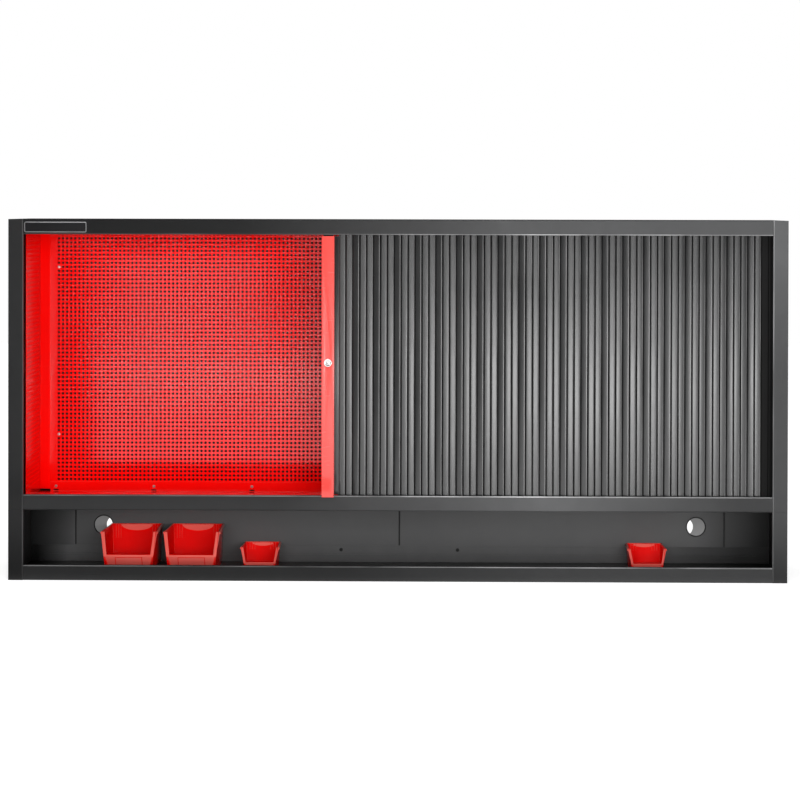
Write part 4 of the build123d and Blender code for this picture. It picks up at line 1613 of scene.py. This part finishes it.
    def build(self) -> None:
        """Build the bin in its place."""
        self.walls()
        # The mouth frame, front field, crescent and rim are marked for the salmon edge colour, a
        # painted reflection; soften marks the rounded edges the same way.
        plain = len(self.shape.mesh.faces)
        for add in (self.mouth, self.front_plate, self.highlight_crescent, self.rolled_rim):
            add()
        self.shape.mesh.faces.ensure_lookup_table()
        self.shape.mark(self.shape.mesh.faces[plain:])
        if self.holder:
            self.label_holder()
        self.stiffeners()
        bmesh.ops.recalc_face_normals(self.shape.mesh, faces=self.shape.mesh.faces)
        self.shape.soften(self.rounding, 2, 38.0)
        self.shape.place(Matrix.Translation((self.place, self.rear - self.length, self.floor)))
        self.shape.finish(BIN_PLASTIC, self.node, (self.node,), smooth=True)


# ---- blank plate ---------------------------------------------------------------------------
@dataclass
class BlankPlate:
    """The bare plate on the top rail: a dark field inside a thin bright rim."""

    left: float = -718.9
    low: float = 670.5
    width: float = 120.0
    height: float = 20.2
    front: float = -150.0
    corner: float = 3.0
    rim: float = 1.7

    def outline(self, inset: float, y: float) -> list[Spot]:
        """Give the rounded outline of the plate.

        Args:
            inset: Distance inside its edge.
            y: Place of the outline.

        Returns:
            Its points.
        """
        radius = max(self.corner - inset, 0.8)
        x0, x1 = self.left + inset + radius, self.left + self.width - inset - radius
        z0, z1 = self.low + inset + radius, self.low + self.height - inset - radius
        points = []
        for cx, cz, start in ((x1, z0, -90.0), (x1, z1, 0.0), (x0, z1, 90.0), (x0, z0, 180.0)):
            for k in range(7):
                angle = math.radians(start + 15.0 * k)
                points.append((cx + radius * math.cos(angle), y,
                               cz + radius * math.sin(angle)))
        return points

    def build(self) -> None:
        """Build the field and the rim."""
        field_piece = Shape("blank_plate_field")
        field_piece.prism(self.outline(0.4, self.front), (0.0, -0.7, 0.0))
        field_piece.finish(PLATE_FIELD, "cabinet", ("blank_plate",))
        rim = Shape("blank_plate_rim")
        rings = [[rim.mesh.verts.new(p) for p in self.outline(inset, self.front - out)]
                 for inset, out in ((0.0, 0.0), (0.0, 0.8), (0.5, 1.2), (self.rim - 0.4, 1.2),
                                    (self.rim, 0.7), (self.rim, 0.0))]
        rim.bridge(rings + rings[:1])
        rim.finish(PLATE_RIM, "cabinet", ("blank_plate",), smooth=True)


# ---- studio --------------------------------------------------------------------------------
def card(name: str, corners: Sequence[Spot], paint: str,
         inputs: dict[str, Any]) -> bpy.types.Object:
    """Make a flat sheet in a plain material.

    Args:
        name: Name of the object.
        corners: Its corners, in metres.
        paint: Name of its material, which several sheets may share.
        inputs: What the material's shader is set to.

    Returns:
        The object.
    """
    data = bpy.data.meshes.new(name)
    data.from_pydata(corners, [], [tuple(range(len(corners)))])
    material = bpy.data.materials.get(paint) or bpy.data.materials.new(paint)
    material.use_nodes = True
    for key, amount in inputs.items():
        material.node_tree.nodes["Principled BSDF"].inputs[key].default_value = amount
    data.materials.append(material)
    return shown(name, data)


@dataclass(frozen=True)
class Softbox:
    """One large soft lamp, in metres, with the light that leaves each part of its face."""

    name: str
    place: Spot
    target: Spot
    width: float
    height: float
    radiance: float
    mirrored: bool = True

    def build(self) -> None:
        """Hang the lamp and aim it."""
        data = bpy.data.lights.new(self.name, "AREA")
        data.shape = "RECTANGLE"
        data.size = self.width
        data.size_y = self.height
        data.energy = self.radiance * math.pi * self.width * self.height
        lamp = shown(self.name, data)
        aim = Vector(self.target) - Vector(self.place)
        lamp.matrix_world = (Matrix.Translation(self.place)
                             @ aim.to_track_quat("-Z", "Y").to_matrix().to_4x4())
        lamp.visible_camera = False
        lamp.visible_glossy = self.mirrored


ROOM = 9.3
FRONT_WALL = ((-ROOM, -ROOM), (ROOM, -ROOM))
REAR_WALL = ((ROOM, 3.0), (-ROOM, 3.0))


@dataclass(frozen=True)
class Screen:
    """One black cloth, in metres, that only reflections see.

    It hangs from its high edge over a plan of two points, or lies level on a plan of four.
    """

    name: str
    low: float
    high: float
    plan: tuple[Flat, ...]

    def build(self) -> bpy.types.Object:
        """Hang the cloth.

        Returns:
            The object.
        """
        heights = (self.low, self.low, self.high, self.high)
        corners = [(x, y, z) for (x, y), z in zip(self.plan + self.plan[::-1], heights)]
        cloth = card(self.name, corners, "black_cloth", {
            "Base Color": (0.01, 0.01, 0.01, 1.0), "Roughness": 0.9, "Specular IOR Level": 0.0})
        for ray in ("camera", "diffuse", "transmission", "volume_scatter", "shadow"):
            setattr(cloth, f"visible_{ray}", False)
        return cloth


@dataclass
class Studio:
    """Pale floor, white surroundings, soft lamps and the camera."""

    floor_front: float = -9.4
    floor_reach: float = 9.4
    floor_level: float = -0.0004
    ambient: float = 0.38
    floor_glow: float = 0.66
    camera_place: Spot = (0.09155, -5.6766, 0.72)
    pitch: float = 0.01132
    yaw: float = 0.01573
    roll: float = 0.00229
    lens: float = 129.47
    sensor: float = 36.0
    shift: float = -0.2
    lamps: tuple[Softbox, ...] = (
        Softbox("front_fill", (0.3, -7.0, 0.95), (0.1, 0.0, 0.35), 4.4, 1.8, 11.5, False),
        Softbox("low_front_softbox", (0.3, -8.6, 0.62), (0.3, 0.0, 0.62), 3.8, 1.2, 1.3),
        Softbox("near_softbox", (0.50, -2.15, 0.25), (0.385, 0.0, 0.30), 0.66, 0.36, 5.2),
        Softbox("overhead_softbox", (0.0, -1.6, 3.4), (0.0, 0.0, 0.3), 3.0, 1.6, 3.0))
    screens: tuple[Screen, ...] = (
        Screen("front_cloth", 0.0, 6.0, FRONT_WALL),
        Screen("left_cloth", 0.0, 6.0, ((-ROOM, -1.0), (-ROOM, -ROOM))),
        Screen("right_cloth", 0.0, 6.0, ((ROOM, -ROOM), (ROOM, -1.0))),
        Screen("rear_cloth", 0.70, 6.0, REAR_WALL),
        Screen("near_left_cloth", 0.0, 1.4, ((-4.0, -1.05), (-0.75, -1.05))),
        Screen("high_left_cloth", 0.60, 1.4, ((-4.0, -1.06), (-0.30, -1.06))),
        Screen("low_left_strip", 0.150, 0.180, ((-0.76, -0.22), (-0.12, -0.22))),
        Screen("narrow_cloth", 0.0, 1.3, ((-0.82, -8.5), (-0.50, -8.5))),
        Screen("high_cloth", 6.0, 6.0, REAR_WALL[::-1] + FRONT_WALL[::-1]),
        Screen("near_floor_cloth", 0.0006, 0.0006,
               ((-3.0, -0.17), (0.85, -0.17), (0.85, -0.50), (-3.0, -0.50))),
        Screen("left_floor_cloth", 0.0006, 0.0006,
               ((-ROOM, -0.56), (-0.76, -0.56), (-1.72, -8.9), (-ROOM, -8.9))))

    @staticmethod
    def seen(graph: Graph, strength: float) -> Socket:
        """Give a strength that holds for what the camera, gloss and glass see.

        Args:
            graph: The node tree it is for.
            strength: The strength where the ray is one of these.

        Returns:
            The socket, which is 0 for every other ray.
        """
        path = graph.node("ShaderNodeLightPath")
        total = path.outputs["Is Camera Ray"]
        for name in ("Is Glossy Ray", "Is Transmission Ray"):
            total = graph.math("MAXIMUM", total, path.outputs[name])
        return graph.math("MULTIPLY", total, strength)

    def surroundings(self) -> None:
        """Make the surroundings white to the camera and softly lit for the object."""
        world = bpy.data.worlds.new("white_surroundings")
        world.use_nodes = True
        graph = Graph(world.node_tree)
        extra = self.seen(graph, 1.0 - self.ambient)
        background = world.node_tree.nodes["Background"]
        graph.feed(background.inputs["Color"], (1.0, 1.0, 1.0, 1.0))
        graph.feed(background.inputs["Strength"], graph.math("ADD", extra, self.ambient))
        bpy.context.scene.world = world

    def floor(self) -> None:
        """Lay the pale floor, which keeps the cabinet's shadow."""
        reach = self.floor_reach
        corners = [(x, y, self.floor_level) for x, y in
                   ((-reach, self.floor_front), (reach, self.floor_front), (reach, reach),
                    (-reach, reach))]
        floor = card("studio_floor", corners, "pale_floor", {
            "Base Color": (0.86, 0.86, 0.86, 1.0), "Roughness": 0.7,
            "Emission Color": (1.0, 1.0, 1.0, 1.0)})
        tree = floor.data.materials[0].node_tree
        tree.links.new(self.seen(Graph(tree), self.floor_glow),
                       tree.nodes["Principled BSDF"].inputs["Emission Strength"])

    def camera(self) -> None:
        """Set up the camera."""
        data = bpy.data.cameras.new("studio_camera")
        data.lens = self.lens
        data.sensor_width = self.sensor
        data.shift_y = self.shift
        data.clip_end = 100.0
        camera = shown("studio_camera", data)
        sin_y, cos_y = math.sin(self.yaw), math.cos(self.yaw)
        sin_p, cos_p = math.sin(self.pitch), math.cos(self.pitch)
        right = Vector((cos_y, sin_y, 0.0))
        above = Vector((-sin_y * sin_p, cos_y * sin_p, cos_p))
        ahead = Vector((-sin_y * cos_p, cos_y * cos_p, -sin_p))
        tilted = right * math.cos(self.roll) + above * math.sin(self.roll)
        upward = above * math.cos(self.roll) - right * math.sin(self.roll)
        turn = Matrix((tilted, upward, -ahead)).transposed().to_4x4()
        camera.matrix_world = Matrix.Translation(self.camera_place) @ turn
        bpy.context.scene.camera = camera

    def build(self) -> None:
        """Set up the whole studio."""
        bpy.context.scene.view_settings.view_transform = "Standard"
        self.surroundings()
        self.floor()
        for lamp in self.lamps:
            lamp.build()
        [screen.build() for screen in self.screens]
        self.camera()


def screw_sets() -> list[ScrewSet]:
    """Give every set of small screws with its places.

    Returns:
        The sets.
    """
    lining = Lining()
    module = ShelfModule()
    first, pitch, count = -689.5, 197.0, 8
    floor_row = [(first + pitch * k, 89.0, 158.5) for k in range(count)]
    back_row = [(hand * 684.0, lining.back, level)
                for hand in HANDS.values() for level in (262.9, 599.1)]
    joint, margin, end, inset = module.joint_place, 1.5, 748.5, 12.0
    plates = ((-end, -joint - margin), (-joint + margin, -margin), (margin, joint - margin),
              (joint + margin, end))
    covers = [(x, module.plate_face, 124.2)
              for left, right in plates for x in (left + inset, right - inset)]
    rear = [(hand * 742.5, module.rear_face, level)
            for hand in HANDS.values() for level in (206.0, 346.0, 486.0, 626.0)]
    return [ScrewSet("lining_floor_screws", SCREW_ZINC, floor_row),
            ScrewSet("lining_back_screws", SCREW_ZINC, back_row),
            ScrewSet("cover_plate_screws", STEEL_ZINC, covers, length=2.2),
            ScrewSet("rear_panel_screws", STEEL_ZINC, rear, backward=True, length=2.4)]


def bins() -> list[StackingBin]:
    """Give the four bins.

    Returns:
        The bins.
    """
    sizes = {"big": {"length": 165.0, "rim_width": 114.0, "base_width": 105.0, "height": 76.8,
                     "lip": 31.8, "slope": 22.0, "taper": 7.0, "frame": 6.2, "lean": 9.0,
                     "setback": 12.0, "holder": 54.0},
             "small": {"length": 110.0, "rim_width": 79.0, "base_width": 71.5, "height": 40.8,
                       "lip": 11.8, "slope": 7.0, "taper": 4.0, "frame": 4.2, "lean": 7.5,
                       "setback": 8.0}}
    places = {"big": (-532.0, -408.0), "small": (-276.5, 494.5)}
    return [StackingBin(f"{size}_bin_{number}", place, **sizes[size])
            for size in sizes for number, place in enumerate(places[size], start=1)]


def main() -> None:
    """Build every piece in order and report it."""
    logging.basicConfig(level=logging.INFO, format="%(name)s: %(message)s")
    for part in (Carcass(), ShelfModule(), Lining(), *screw_sets(), Curtain(), LeadRail(),
                 *bins(), BlankPlate(), Studio()):
        part.build()
        LOG.info("built %s", type(part).__name__)


if __name__ == "__main__":
    main()
